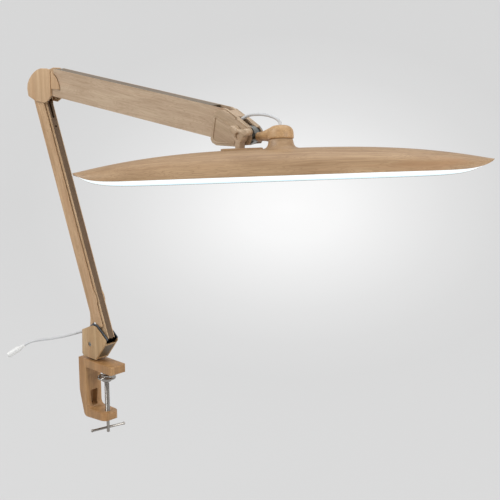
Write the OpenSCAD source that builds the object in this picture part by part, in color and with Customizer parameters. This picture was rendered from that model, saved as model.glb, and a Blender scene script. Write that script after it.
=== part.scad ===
// Clamp desk lamp: a C-clamp, a swivelling bracket, two balanced arms of nested channels and a long boat-shaped head.
// Millimetres. The origin is on the upper jaw's underside at the clamp screw's axis. +X runs out over the desk, +Z is up,
// and the arms move in the XZ plane.

/* [Clamp] */
// Width of the clamp frame
clamp_w = 30; // [26:0.5:40]
// Thickness of the upper jaw
jaw_t = 13.4; // [11:0.2:18]
// Reach of the upper jaw in front of the screw's axis
jaw_reach = 30.4; // [22:0.2:40]
// Distance from the leg's outer face to the screw's axis
leg_reach = 51.6; // [47:0.2:58]
// Thickness of the leg
leg_t = 18; // [15:0.5:22]
// Opening height between the jaws
throat = 69.4; // [62:0.2:80]
// Thickness of the lower jaw at its nose
lower_jaw_t = 12.5; // [10:0.5:16]
// Radius of the inner corner between the leg and the lower jaw
jaw_fillet = 8; // [4:0.5:12]
// Radius of the leg's outer bottom corner
leg_round = 8; // [4:0.5:10]
// Width of the pocket cored into the leg, at its top
pocket_w = 15; // [10:0.5:18]
// Width of the pocket at its bottom
pocket_low_w = 10.5; // [8:0.5:16]
// Depth of the pocket cored into the leg
pocket_d = 12; // [8:0.5:14]

/* [Clamp screw] */
// Diameter of the clamp screw
screw_d = 8; // [6:0.5:10]
// Height of the pressure disc's face below the upper jaw
disc_drop = 11; // [9:0.5:20]
// Diameter of the pressure disc
disc_d = 30; // [24:0.5:34]
// Thickness of the pressure disc with its socket
disc_t = 8; // [7:0.5:11]
// Length of the screw below the upper jaw's underside
screw_end = 106; // [100:1:120]
// Length of the tommy bar
bar_l = 60; // [50:1:70]
// Diameter of the tommy bar
bar_d = 4; // [3:0.5:5]
// Turn of the tommy bar about the screw
bar_turn = 78; // [0:1:180]

/* [Bracket] */
// Size that the bracket's outline follows
bracket_size = 50; // [49:0.1:51]
// Outer width of the bracket cover
bracket_w = 25.4; // [25:0.2:27]
// Wall of the bracket cover
cover_wall = 1.9; // [1.6:0.1:2]
// Sheet thickness of the steel liner
liner_wall = 1.2; // [1:0.1:1.4]
// Distance of the swivel axis behind the clamp screw's axis
swivel_back = 26; // [24:0.5:28]
// Diameter of the swivel post
post_d = 10; // [8:0.5:11]
// Gap between the clamp and the bracket, filled by the bush's flange and a collar
bracket_gap = 3.4; // [3:0.1:5]

/* [Arms] */
// Sheet thickness of the arm channels
channel_wall = 1.2; // [1:0.1:1.3]
// Length of the lower arm between its pivots
lower_l = 415.8; // [380:1:440]
// Lean of the lower arm from upright at rest, backwards
lower_lean = 17.3; // [10:0.1:22]
// Width of the lower outer channel
lower_w = 17.2; // [17:0.1:17.4]
// Depth of the lower outer channel
lower_depth = 22.4; // [21:0.2:24]
// Depth of the lower inner channel
inner_depth = 9.5; // [8.5:0.1:10]
// How far the lower inner channel stands out of the outer one
inner_proud = 4; // [3:0.1:4.6]
// Length of the upper arm between its pivots
upper_l = 392.6; // [360:1:420]
// Fall of the upper arm below level at rest
upper_fall = 5.2; // [0:0.1:8]
// Width of the upper outer channel
upper_w = 20; // [19.8:0.1:20.2]
// Height of the upper outer channel
upper_h = 42.5; // [40:0.5:44]
// Height of the upper inner channel's sides
upper_inner_h = 19; // [16:0.5:20]

/* [Elbow] */
// Size that the elbow's outline follows
elbow_size = 50; // [49.5:0.1:50.5]
// Distance between the elbow's two arm pivots
elbow_span = 38; // [37.6:0.1:38.4]
// Width over the elbow's covers
elbow_w = 26.2; // [26.2:0.1:27.4]
// Sheet thickness of the elbow's hub
hub_wall = 1.2; // [1:0.1:1.2]
// Radius of the hub's disc where the upper arm starts
hub_r = 31.5; // [30:0.1:31.8]

/* [Wrist] */
// Size that the wrist's outlines follow
wrist_size = 50; // [49.8:0.1:50.4]
// Thickness of the wrist's side plates
plate_t = 1.6; // [1.2:0.1:2]
// Height of the plates' raised border
bead_h = 0.8; // [0.4:0.1:1]
// Diameter of the friction washers and the barrel
barrel_d = 24.6; // [22:0.2:25]
// Reach of the knob's lobes from its axis
knob_r = 19.5; // [17:0.1:19.8]
// Thickness of the knob
knob_t = 11; // [9:0.5:13]

/* [Neck and head] */
// Diameter of the neck
neck_d = 12.4; // [11:0.2:14]
// Distance from the wrist's axis to the head's swivel axis
neck_l = 53.5; // [52:0.5:62]
// Rise of the neck above level at rest
neck_rise = 11.8; // [5:0.1:16]
// Roll of the neck about its own axis at rest, near side up
neck_roll = 9.2; // [0:0.1:14]
// Diameter of the bulb that the head hangs from
bulb_d = 34; // [30:0.5:38]
// Height of the bulb
bulb_h = 18.6; // [16:0.2:20]
// Turn of the head about its swivel axis at rest
head_turn = 45.6; // [0:0.1:90]
// Distance of the head's middle from its swivel axis
head_off = 2.5; // [0:0.5:6]
// Length of the head
head_l = 540; // [480:5:600]
// Width of the head
head_w = 88; // [80:1:96]
// Height of the head's crown above its tips
crown_h = 23.4; // [20:0.2:26]
// Depth of the head's rim below its tips
rim_drop = 15.3; // [12:0.1:18]
// Wall of the shade
shade_wall = 1.8; // [1.4:0.1:2.2]
// Height of the boss above the crown
boss_rise = 11.2; // [9:0.2:12]
// Diameter of the boss at its top
boss_d = 31.6; // [29:0.2:36]
// Spread of the fillet round the boss's foot
boss_fillet = 8; // [4:0.5:10]

/* [Lighting parts] */
// Thickness of the diffuser
diffuser_t = 2; // [1.5:0.1:2.5]
// Length of the board that carries the light-emitting diodes
board_l = 440; // [400:5:460]
// Width of that board
board_w = 34; // [28:1:40]
// Number of diodes in each of the two rows
diodes = 30; // [12:1:40]
// Diameter of a button
button_d = 9; // [7:0.5:10]

/* [Lead] */
// Diameter of the supply lead
lead_d = 4.4; // [3:0.1:5]
// Diameter of the cable that feeds the head
cable_d = 4.2; // [3:0.1:4.4]
// Length of the lead's connector
connector_l = 30; // [26:1:40]
// Diameter of the lead's connector
connector_d = 9.6; // [8:0.2:11]

/* [Hidden] */
$fn = 48;

wood = "#b99c78";
wood_dark = "#8a6f50";
steel = "#8d9299";
dark_steel = "#3d4148";
chrome = "#c9cdd2";
white = "#eceeee";

// One overrun for cuts, the lap of a web into its cheeks, and the clearances
over = 1;
lap = 0.4;
run_gap = 0.05;
seat_gap = 0.1;
head_gap = 0.2;
free_gap = 0.3;
loose_gap = 0.4;

// Clamp places
leg_in = leg_t - leg_reach;
half_clamp = clamp_w / 2;
corner = 3;
nose_cut = 1.5;
edge_cut = 1;
nose_x = half_clamp - 1 * edge_cut;
nose_bevel = 3;
foot_drop = 3.2;
leg_curve = 28;
leg_curve_shares = [[0.19, 0.21], [0.07, 0.64], [0, 1]];
pocket_share = 0.435;
thread_r = screw_d / 2 + run_gap;
bush_wall = 2;
bush_r = post_d / 2 + bush_wall;
flange_lip = 1.4;
flange_r = bush_r + flange_lip;
clip_lip = 2.6;
clip_r = post_d / 2 + clip_lip;
clip_t = 1.2;
clip_z = 2.8;
groove_d = 0.9;
bush_z = clip_z + clip_t + free_gap;
flange_t = bracket_gap / 2 - seat_gap;

// Screw places
disc_top = -disc_drop;
disc_low = disc_top - disc_t;
disc_shares = [[0, 0], [0.34, 0], [0.38, 0.09], [0.5, 0.09], [0.54, 0], [0.7, 0], [0.74, 0.09], [0.84, 0.09], [0.9, 0],
    [1, 0.08], [1, 0.3], [0.94, 0.38], [0.62, 0.5], [0.5, 1], [0, 1]];
stem_r = screw_d / 2 * 0.62;
ball_r = screw_d / 2 * 0.8;
ball_deep = 4.2;
ball_h = 2.2;
tip_h = 1;
stem_l = 20;
bar_z = -screw_end + bar_d * 2;

// Bracket outline, from the swivel axis along X and from the bracket's foot along Z
bracket_z = jaw_t + bracket_gap;
bracket_x = -swivel_back;
shoulder_dx = 1.6;
shoulder_dz = 23.2;
shoulder_x = bracket_x + shoulder_dx;
shoulder_z = bracket_z + shoulder_dz;
bracket_shares = [[-0.3, 0], [-0.374, 0.084], [-0.34, 0.884], [0.18, 1.12], [0.36, 1.112], [0.84, 0.76], [0.84, 0.664],
    [0.308, 0]];
outline_bracket = bracket_size * bracket_shares;
cover_bend = 1;
front_share = 0.9;
liner_in = bracket_w / 2 - cover_wall - head_gap - liner_wall;
liner_gap = cover_wall + loose_gap;
liner_lip = 0.8;
post_low = 1.2;
post_neck = 1;
rivet_lip = 0.6;
rivet_h = 1.4;
shoulder_r = 2.6;
shoulder_head_r = 3.5;
shoulder_sink = 0.5;
driver_slot = 1;
driver_deep = 0.7;
lead_dz = 37.2;
grommet_wall = 1.4;
grommet_in = 4;

// The pair of pivots that every arm's two channels hang on
link_x = 30.4;
link_z = 18;
pin_r = 2.4;
pin_lip = 0.8;
collar_lip = 2;
ear_r = 6.5;
ear_in = 0.6;

// Half widths of the layers of sheet, from the middle plane outwards
lower_out = lower_w / 2;
lower_in = lower_out - channel_wall;
link_side = 1.25;
link_out = lower_in - link_side;
upper_out = upper_w / 2;
upper_in = upper_out - channel_wall;
bar_out = upper_in - loose_gap;
elbow_out = elbow_w / 2;
cap_t = 1.5;
hub_out = elbow_out - cap_t;
hub_in = hub_out - hub_wall;

// Lower arm: its straight channel runs askew of the line between its pivots
lower_skew = 3.4;
lower_edge = 14;
lower_first = 24;
lower_start = 48;
lower_past = 8;
arc_r = 39.2;
ear_ray = 62;
ear_near = 30;
ear_far = 43.6;
ear_foot = 8;
ear_lap = 2;
bump_u = 70;
bump_l = 30;
bump_h = 2.6;
bump_shares = [[0.6, -0.4], [0.13, 1], [-0.13, 1], [-0.4, -0.4]];
elbow_x = shoulder_x - lower_l * sin(lower_lean);
elbow_z = shoulder_z + lower_l * cos(lower_lean);
function lower_back(u) = lower_edge - (u - lower_start) * tan(lower_skew);
lower_face = lower_depth + inner_proud;
link_p = link_x * cos(lower_lean) + link_z * sin(lower_lean);
link_u = -link_x * sin(lower_lean) + link_z * cos(lower_lean);
lower_top = lower_l + lower_past;
link_foot = 4;
link_end = 34;
link_top = lower_l - link_end;
link_lap = 6;
// The inner channel's sides are deeper at their foot, and the outer channel's web starts above them
foot_deep = 15;
foot_low = 2;
foot_high = 31;
foot_step = 33;
foot_end = 46;
web_start = 62;
hook_size = 20;
hook_shares = [[-0.55, -1.3], [-0.53, -0.5], [0.2, -0.2], [-0.1, 0.295], [-0.85, -0.4], [-0.84, -1.45]];
slot_w = 3.4;
slot_end = 12;
slot_start = 60.5;
slot_hole = 74.5;
slot_hole_r = 1.6;

// Upper arm and its second pair of pivots
upper_x = elbow_x + elbow_span;
upper_z = elbow_z;
mate_x = link_x - elbow_span;
mate_z = link_z;
mate_r = norm([mate_x, mate_z]);
wrist_x = upper_x + upper_l * cos(upper_fall);
wrist_z = upper_z - upper_l * sin(upper_fall);
upper_low = -7;
upper_top = upper_low + upper_h;
strip_h = 5;
shell_gap = 0.5;
shell_r = hub_r + shell_gap;
shell_start = 2.4;
end_r = 29;
end_round = 10;
web_end = 12;
ring_half = 5;
ring_low = 2.5;
inner_rise = 1.4;
inner_left = 14;
inner_right = 22;
tongue = 12;

// Elbow outline, from the lower arm's elbow pivot
elbow_shares = [[-0.22, -0.24], [-0.268, 0], [-0.236, 0.16], [-0.146, 0.3], [-0.02, 0.428], [0.12, 0.532], [0.28, 0.616],
    [0.48, 0.672], [0.82, 0.684], [0.94, 0.644], [0.968, 0.56], [0.952, -0.16], [0.88, -0.26], [0.64, -0.396],
    [0.12, -0.36]];
outline_elbow = elbow_size * elbow_shares;
hub_inset = 0.8;
hub_lip = 0.6;
hub_web_shares = [[1, 0], [1, -0.4], [1, -0.75], [2, -2.25], [2.25, -1.5], [2.4, -0.75]];
disc_start = 3;

// Wrist places
tilt_dx = 36;
tilt_dz = 3.5;
tilt_x = wrist_x + tilt_dx;
tilt_z = wrist_z + tilt_dz;
plate_in = hub_in;
plate_out = plate_in + plate_t;
plate_shares = [[-0.36, 0.6], [-0.2, 0.68], [0, 0.688], [0.392, 0.504], [0.396, 0.466], [0.84, 0.25], [0.88, 0.24],
    [0.98, 0.12], [0.984, 0], [0.9, -0.16], [0.72, -0.188], [0.5, -0.248], [-0.32, -0.288], [-0.48, -0.232],
    [-0.544, -0.14], [-0.432, 0.48]];
bead_shares = [[-0.33, 0.52], [0.32, 0.24], [0.42, -0.188], [-0.3, -0.228], [-0.43, -0.172], [-0.472, -0.1], [-0.372, 0.448]];
roof_shares = [[-0.12, 0.72], [0, 0.7], [0.44, 0.498], [0.86, 0.288], [0.84, 0.252], [0.44, 0.448], [0, 0.66], [-0.12, 0.68]];
bead_w = 2.2;
pin_skin = 0.5;
hood_slot = 9.2;
hood_back = 3;
hood_front = 18;
hood_out = upper_in - free_gap;
bolt_r = 3;
washer_t = 1.2;
washer_in = 2.2;
washer_step = 0.8;
face_gap = 0.02;
barrel_half = plate_in - 2 * washer_t - free_gap;
eye_half = 4.3;
eye_rim = 2.4;
knob_gap = 0.4;
knob_out = plate_out + bead_h + knob_gap;
lobe_r = 4.6;
knob_skin = 3;
knob_recess = 2;
nut_r = 6.4;
nut_t = 3.9;
nut_plate_t = 1.4;
nut_plate_in = 1;

// Neck and head places, in the neck's frame and the head's frame
neck_drop = 4.5;
neck_h = 42.8;
neck_start = barrel_d / 2 + over;
stub_in = 0.4;
flare_from = 9;
flare_l = 13;
flare_grow = 3;
spigot_r = 4;
spigot_l = 9;
boss_top = crown_h + boss_rise;
bulb_low = boss_top + free_gap;
bulb_shares = [[0.88, 0], [0.965, 0.075], [1, 0.34], [0.985, 0.52], [0.93, 0.69], [0.82, 0.84], [0.62, 0.95], [0.32, 1]];
bore_deep = 8;
cable_in = 6;
spindle_r = 5;
spindle_wall = 2.8;
spindle_low = 9;
spindle_up = 7;
spindle_nut_r = 9;
spindle_nut_t = 3.4;
spindle_nut_gap = 1;
boss_sides = 40;
boss_shares = [[1, 0], [0.7, 0.045], [0.45, 0.13], [0.24, 0.3], [0.1, 0.55], [0.03, 0.86], [-0.08, 1]];
plan_n = 3.66;
rim_n = 14.9;
crown_n = 2.67;
stations = 40;
arcs = 14;
thin = 0.6;
tray_rise = 9;
tray_h = 5;
tray_lip = 8;
tray_wall = 1;
tray_z = -rim_drop + tray_rise;
tray_top = tray_z + tray_h;
post_r = 4;
screw_in = 12;
screw_past = 4;
tray_screw_r = 1.5;
tray_screw_head = 3;
tray_screw_head_t = 1.6;
screw_top = tray_top + screw_past;
plate_x = -53;
plate_l = 54;
plate_w = 26;
plate_corner = 4;
plate_rise = 0.8;
plate_sink = 3;
button_x = 9;
button_gap = 0.25;
button_proud = 0.2;
button_low = 0.6;
button_rim = 0.8;
button_rim_t = 1.2;
board_drop = 8.2;
board_t = 1.6;
switch_board_w = 18;
switch_board_in = 3;
stud_r = 2;
stud_in = 5;
key_w = 6;
key_t = 1.6;
key_cap_r = 1.7;
key_cap_t = 0.7;
diode_z = 2.4;
chip_w = 2.8;
chip_t = 0.8;
chip_in = 20;
driver_x = -97;
driver_l = 46;
driver_w = 24;
driver_gap = 1.2;
cord_sides = 8;

// Spring sizes
wire_r = 0.6;
coil_r = 3.6;
coil_pitch = 2;
coil_curls = 40;
coil_steps = 8;
coil_gap = 0.5;
coil_z = 6;
coil_drop = 64;
coil_reach = 30;
shank = 14;
upper_reach = 18;
spring_side = 0.9;
anchor_r = 1.5;
anchor_in = 3.4;
anchor_w = 6;
anchor_rise = 2;
anchor_z = 1.9;
anchor_high = 6;
anchor_foot_t = 1;
anchor_foot_w = 1.8;

// Cables in the arms: where they start, and how far they stop short of the upper pivot
lower_cable_from = 70;
lower_cable_short = 176;
upper_cable_from = 60;
upper_cable_short = 42.6;

// Connector on the lead
connector_neck = 8;
connector_step = 2;
socket_r = 2.8;
socket_deep = 10;
socket_pin_r = 1.05;
socket_pin_short = 1;

// Routes, as points on the cords' middle lines; the head cable's are counted from the wrist's pivot
lead_route = [[-41, 0, 54], [-47.6, 0, 54], [-52, -1, 53.4], [-58, -5, 51.4], [-68, -14, 47.4], [-78, -25, 44], [-87, -36, 42],
    [-93, -45, 41], [-101, -55, 40], [-108, -64, 38], [-113, -70, 35], [-116, -74, 32]];
cable_route = [[15, 0, 17.6], [20, 0, 22.6], [27, 0, 26.6], [36, 0, 29.6], [46, 0, 31.2], [56.6, 0, 32], [66.9, 0.4, 31.6],
    [76, 1.2, 29.8], [82.3, 2, 27.2], [85.8, 2.4, 24.1], [87.1, 1.7, 20.4], [87.8, 1.1, 17.3]];

// Shapes in the XZ plane, extruded along Y
module slab(from, to) {
    translate([0, to, 0]) rotate([90, 0, 0]) linear_extrude(to - from) children();
}

module both(from, to) {
    slab(from, to) children();
    slab(-to, -from) children();
}

module pin_y(r, from, to) {
    translate([0, to, 0]) rotate([90, 0, 0]) cylinder(r = r, h = to - from);
}

// Points of an arc, for an outline's corner
function bend(centre, r, from, to) = [for (i = [0:6]) let (a = from + (to - from) * i / 6) centre + r * [cos(a), sin(a)]];

module in_bracket() {
    translate([bracket_x, 0, bracket_z]) children();
}

module in_lower() {
    translate([shoulder_x, 0, shoulder_z]) rotate([0, -lower_lean, 0]) children();
}

module in_lower_link() {
    translate([link_x, 0, link_z]) in_lower() children();
}

module in_elbow() {
    translate([elbow_x, 0, elbow_z]) children();
}

module in_upper() {
    translate([upper_x, 0, upper_z]) rotate([0, upper_fall, 0]) children();
}

module in_upper_link() {
    translate([mate_x, 0, mate_z]) in_upper() children();
}

module in_wrist() {
    translate([wrist_x, 0, wrist_z]) children();
}

module at_tilt() {
    translate([tilt_x, 0, tilt_z]) children();
}

module in_tilt() {
    at_tilt() rotate([0, -neck_rise, 0]) children();
}

module in_neck() {
    in_tilt() translate([0, 0, -neck_drop]) rotate([-neck_roll, 0, 0]) children();
}

module in_head() {
    in_neck() translate([neck_l, 0, -neck_h]) rotate([0, 0, head_turn]) children();
}

module in_shade() {
    in_head() translate([head_off, 0, 0]) children();
}

// A tube swept along points, with rings carried along so that they don't twist
function unit(v) = v / norm(v);
function tangents(p) = [for (i = [0:len(p) - 1]) unit(p[min(i + 1, len(p) - 1)] - p[max(i - 1, 0)])];
function carry(n, t) = unit(n - (n * t) * t);
function normals(t, first) =
    [for (i = 0, n = carry(first, t[0]); i < len(t); i = i + 1, n = carry(n, t[min(i, len(t) - 1)])) n];

module tube(path, r, sides, first) {
    t = tangents(path);
    n = normals(t, first);
    count = len(path);
    rings = [for (i = [0:count - 1], k = [0:sides - 1])
        let (a = 360 * k / sides, b = cross(t[i], n[i])) path[i] + r * (cos(a) * n[i] + sin(a) * b)];
    walls = [for (i = [0:count - 2], k = [0:sides - 1])
        let (a = i * sides + k, b = i * sides + (k + 1) % sides) each [[a, a + sides, b], [b, a + sides, b + sides]]];
    first_cap = [for (k = [1:sides - 2]) [0, k, k + 1]];
    base = (count - 1) * sides;
    last_cap = [for (k = [1:sides - 2]) [base, base + k + 1, base + k]];
    polyhedron(points = rings, faces = concat(walls, first_cap, last_cap), convexity = 10);
}

// Clamp
module clamp_outline() {
    low = -throat - lower_jaw_t;
    foot = low - foot_drop;
    polygon(concat([[-leg_reach, jaw_t], [jaw_reach - nose_cut, jaw_t], [jaw_reach, jaw_t - nose_cut],
        [jaw_reach, edge_cut], [jaw_reach - edge_cut, 0]],
        bend([leg_in + corner, -corner], corner, 90, 180),
        bend([leg_in + jaw_fillet, jaw_fillet - throat], jaw_fillet, 180, 270),
        [[nose_x, -throat], [nose_x, low + nose_bevel / 2], [nose_x - nose_bevel, low]],
        bend([leg_in - edge_cut, foot + leg_round], leg_round, 270, 196),
        [for (q = leg_curve_shares) [leg_curve * q[0] - leg_reach, leg_curve * q[1] - throat]]));
}

module clamp_frame() {
    low = -throat - lower_jaw_t;
    reach = jaw_t + 2 * over;
    pocket_h = throat * pocket_share;
    color(wood) difference() {
        intersection() {
            slab(-half_clamp, half_clamp) clamp_outline();
            union() {
                translate([-leg_reach, -half_clamp, -over]) cube([leg_reach + jaw_reach - corner, clamp_w, reach]);
                translate([0, -half_clamp + corner, -over]) cube([jaw_reach, clamp_w - 2 * corner, reach]);
                for (side = [-1, 1]) translate([jaw_reach - corner, side * (half_clamp - corner), -over])
                    cylinder(r = corner, h = reach);
                translate([-leg_reach, -half_clamp, low - 2 * corner])
                    cube([leg_reach, clamp_w, throat + lower_jaw_t + 2 * corner]);
                translate([0, 0, low - over]) cylinder(r = half_clamp, h = lower_jaw_t + 2 * over);
            }
        }
        translate([leg_in - pocket_d, 0, jaw_fillet / 2 - throat]) rotate([90, 0, 90]) linear_extrude(pocket_d + corner)
            polygon([[-pocket_low_w / 2, 0], [pocket_low_w / 2, 0], [pocket_w / 2, pocket_h], [-pocket_w / 2, pocket_h]]);
        translate([0, 0, low - 2 * corner]) cylinder(r = thread_r, h = lower_jaw_t + 4 * corner);
        translate([bracket_x, 0, -over]) cylinder(r = bush_r, h = reach);
        translate([bracket_x, 0, -over]) cylinder(r = clip_r + free_gap, h = bush_z + over);
    }
}

module swivel_bush() {
    color("#33363a") translate([bracket_x, 0, 0]) difference() {
        union() {
            translate([0, 0, bush_z]) cylinder(r = bush_r, h = jaw_t - bush_z);
            translate([0, 0, jaw_t]) cylinder(r = flange_r, h = flange_t);
        }
        translate([0, 0, -over]) cylinder(r = post_d / 2 + run_gap, h = jaw_t + bracket_gap + over);
    }
}

module clamp_screw() {
    shank_top = disc_low - tip_h;
    color(chrome) difference() {
        union() {
            translate([0, 0, shank_top]) cylinder(r1 = screw_d / 2, r2 = stem_r, h = tip_h);
            translate([0, 0, disc_low]) cylinder(r = stem_r, h = disc_t - ball_deep);
            translate([0, 0, disc_top - ball_deep]) cylinder(r = ball_r, h = ball_h);
            translate([0, 0, stem_l - screw_end]) cylinder(r = screw_d / 2, h = shank_top + screw_end - stem_l);
            translate([0, 0, -screw_end]) cylinder(r = stem_r, h = stem_l);
        }
        translate([0, 0, bar_z]) rotate([90, 0, bar_turn - 90])
            cylinder(r = bar_d / 2 + run_gap, h = 4 * screw_d, center = true);
    }
}

module pressure_disc() {
    color(chrome) difference() {
        rotate_extrude() polygon([for (q = disc_shares) [disc_d / 2 * q[0], disc_top - disc_t * q[1]]]);
        translate([0, 0, disc_low - over]) cylinder(r = stem_r + run_gap, h = disc_t - ball_deep + over);
        translate([0, 0, disc_top - ball_deep - run_gap]) cylinder(r = ball_r + run_gap, h = ball_h + 2 * run_gap);
    }
}

module tommy_bar() {
    r = bar_d / 2;
    cap_l = bar_d * 0.6;
    color(chrome) translate([0, 0, bar_z]) rotate([90, 0, bar_turn - 90]) {
        cylinder(r = r, h = bar_l, center = true);
        for (end = [-1, 1]) translate([0, 0, end * (bar_l - cap_l) / 2]) cylinder(r = r * 1.25, h = cap_l, center = true);
    }
}

// Bracket
module bracket_cover() {
    inner = bracket_w / 2 - cover_wall;
    p = outline_bracket;
    b = cover_bend;
    front = p[7] + front_share * (p[6] - p[7]);
    color(wood) in_bracket() difference() {
        union() {
            both(inner, bracket_w / 2) polygon(p);
            slab(-inner - lap, inner + lap) {
                polygon([p[0], p[1], p[2], p[2] + [cover_wall, -2 * b], p[1] + [cover_wall, 0.8 * b], p[0] + [b, cover_wall],
                    p[7] + [-b, cover_wall], front + [-cover_wall, 0.6 * b], front, p[7]]);
            }
        }
        translate([0, 0, -over]) cylinder(r = post_d / 2 + loose_gap, h = cover_wall + 2 * over);
        translate([shoulder_dx, 0, shoulder_dz]) pin_y(shoulder_head_r + head_gap, -bracket_w, bracket_w);
        translate([p[2][0] - over, 0, lead_dz]) rotate([0, 90, 0])
            cylinder(r = lead_d / 2 + grommet_wall + seat_gap, h = cover_wall + 2 * over);
    }
}

module bracket_liner() {
    p = outline_bracket;
    g = liner_gap;
    e = liner_lip;
    color(dark_steel) in_bracket() difference() {
        union() {
            both(liner_in, liner_in + liner_wall) polygon([p[0] + [g, g], p[1] + [1.1 * g, g / 2], p[2] + [g, -1.3 * g],
                p[3] + [-e / 2, e], p[4] + [0.7 * e, e], p[5] + [e, e / 2], p[6] + [-1.35 * g, g / 6],
                p[7] + [-0.65 * g, g]]);
            translate([p[0][0] + 1.3 * g, -liner_in - lap, g])
                cube([p[7][0] - p[0][0] - 2 * g, 2 * (liner_in + lap), liner_wall]);
        }
        cylinder(r = post_d / 2 - post_neck, h = 4 * g, center = true);
        translate([shoulder_dx, 0, shoulder_dz]) {
            pin_y(shoulder_r, -bracket_w, bracket_w);
            translate([link_x, 0, link_z]) pin_y(pin_r, -bracket_w, bracket_w);
        }
    }
}

module swivel_post() {
    top = bracket_z + liner_gap;
    color(steel) translate([bracket_x, 0, 0]) difference() {
        union() {
            translate([0, 0, post_low]) cylinder(r = post_d / 2, h = top - post_low);
            translate([0, 0, top]) cylinder(r = post_d / 2 - post_neck, h = liner_wall);
            translate([0, 0, top + liner_wall]) cylinder(r = post_d / 2 + rivet_lip, h = rivet_h);
        }
        difference() {
            translate([0, 0, clip_z - run_gap]) cylinder(r = post_d, h = clip_t + 2 * run_gap);
            cylinder(r = post_d / 2 - groove_d, h = bracket_z);
        }
    }
}

module swivel_collar() {
    low = jaw_t + flange_t + seat_gap;
    color(steel) translate([bracket_x, 0, low]) difference() {
        cylinder(r = flange_r - seat_gap, h = bracket_z - low);
        translate([0, 0, -over]) cylinder(r = post_d / 2, h = bracket_gap + 2 * over);
    }
}

module post_clip() {
    color(steel) translate([bracket_x, 0, clip_z]) difference() {
        cylinder(r = clip_r, h = clip_t);
        translate([0, 0, -over]) cylinder(r = post_d / 2 - groove_d + run_gap, h = clip_t + 2 * over);
        translate([0, -post_d / 4, -over]) cube([clip_r + over, post_d / 2, clip_t + 2 * over]);
    }
}

module shoulder_screws() {
    head_end = bracket_w / 2 - shoulder_sink;
    color(steel) translate([shoulder_x, 0, shoulder_z]) for (side = [-1, 1]) scale([1, side, 1]) difference() {
        union() {
            pin_y(shoulder_r, lower_in, liner_in + liner_wall);
            pin_y(shoulder_r + collar_lip, lower_out + seat_gap, liner_in);
            pin_y(shoulder_head_r, liner_in + liner_wall, head_end);
        }
        translate([-shoulder_head_r, head_end - driver_deep, -driver_slot / 2]) cube([2 * shoulder_head_r, over, driver_slot]);
    }
}

module shoulder_pin() {
    color(steel) translate([shoulder_x + link_x, 0, shoulder_z + link_z]) {
        pin_y(pin_r, -liner_in - liner_wall, liner_in + liner_wall);
        for (side = [-1, 1]) scale([1, side, 1]) pin_y(pin_r + pin_lip, link_out + seat_gap, liner_in);
    }
}

// Lower arm: the outer channel's web is at the back, the inner channel's at the front
module lower_outer_channel() {
    low = lower_back(lower_start);
    high = lower_back(lower_top);
    first = lower_back(lower_first);
    web_x = lower_back(web_start);
    color(wood) in_lower() difference() {
        union() {
            both(lower_in, lower_out) union() {
                difference() {
                    polygon([[first, lower_first], [first + lower_depth, lower_first], [high + lower_depth, lower_top],
                        [high, lower_top]]);
                    circle(arc_r);
                }
                polygon([[-ear_r, 0], [ear_r, 0], ear_near * [cos(ear_ray), sin(ear_ray)],
                    ear_far * [cos(ear_ray), sin(ear_ray)], [low + ear_foot, lower_start + ear_lap],
                    [low, lower_start + ear_lap], [low - 1.2 * ear_lap, lower_start - ear_foot]]);
                circle(ear_r);
                polygon([for (q = bump_shares) let (u = bump_u + bump_l * q[0])
                    [lower_back(u) + lower_depth + bump_h * q[1], u]]);
            }
            slab(-lower_in - lap, lower_in + lap) polygon([[web_x, web_start], [web_x + channel_wall, web_start],
                [high + channel_wall, lower_top], [high, lower_top]]);
        }
        pin_y(shoulder_r + run_gap, -bracket_w, bracket_w);
        translate([0, 0, lower_l]) pin_y(pin_r + run_gap, -bracket_w, bracket_w);
    }
}

module lower_inner_channel() {
    face0 = lower_back(link_u - link_foot) + lower_face - link_p;
    face1 = lower_back(link_u + link_top) + lower_face - link_p;
    color(wood_dark) in_lower_link() difference() {
        union() {
            both(link_out - channel_wall, link_out) union() {
                polygon([[face0 - inner_depth, -link_foot], [face0, -link_foot], [face1, link_top],
                    [face1 - inner_depth, link_top]]);
                polygon(concat([[face1 - inner_depth, link_top - link_lap], [face1, link_top - link_lap]],
                    [for (q = hook_shares) [hook_size * q[0], lower_l + hook_size * q[1]]]));
                polygon([[-foot_deep, -foot_low], [0, -foot_low - ear_in], [0, foot_end], [face0 - inner_depth, foot_end],
                    [-foot_low, foot_end], [-foot_deep / 3, foot_step], [-foot_deep, foot_high]]);
                translate([0, lower_l]) circle(ear_r);
                circle(ear_r - ear_in);
            }
            slab(-link_out + lap, link_out - lap) polygon([[face0 - channel_wall, -link_foot], [face0, -link_foot],
                [face1, link_top], [face1 - channel_wall, link_top]]);
        }
        pin_y(pin_r + run_gap, -bracket_w, bracket_w);
        translate([0, 0, lower_l]) pin_y(pin_r + run_gap, -bracket_w, bracket_w);
        translate([-lower_face, -slot_w / 2, lower_l - slot_start]) cube([2 * lower_face, slot_w, slot_start - slot_end]);
        translate([-lower_face, 0, lower_l - slot_hole]) rotate([0, 90, 0]) cylinder(r = slot_hole_r, h = 2 * lower_face);
    }
}

// A spring from a hook on a pin at [0, side, 0], down a straight shank, to a coil and a second hook, along -Z
function loop_points(centre, r, from, to, side) =
    [for (i = [0:9]) let (a = from + (to - from) * i / 9) [centre[0] + r * cos(a), side, centre[1] + r * sin(a)]];
function coil_points(x, z, slope) = [for (i = [0:coil_curls * coil_steps])
    let (a = 360 * i / coil_steps, d = coil_pitch * i / coil_steps) [x + slope * d - coil_r * cos(a), coil_r * sin(a), z - d]];

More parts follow.
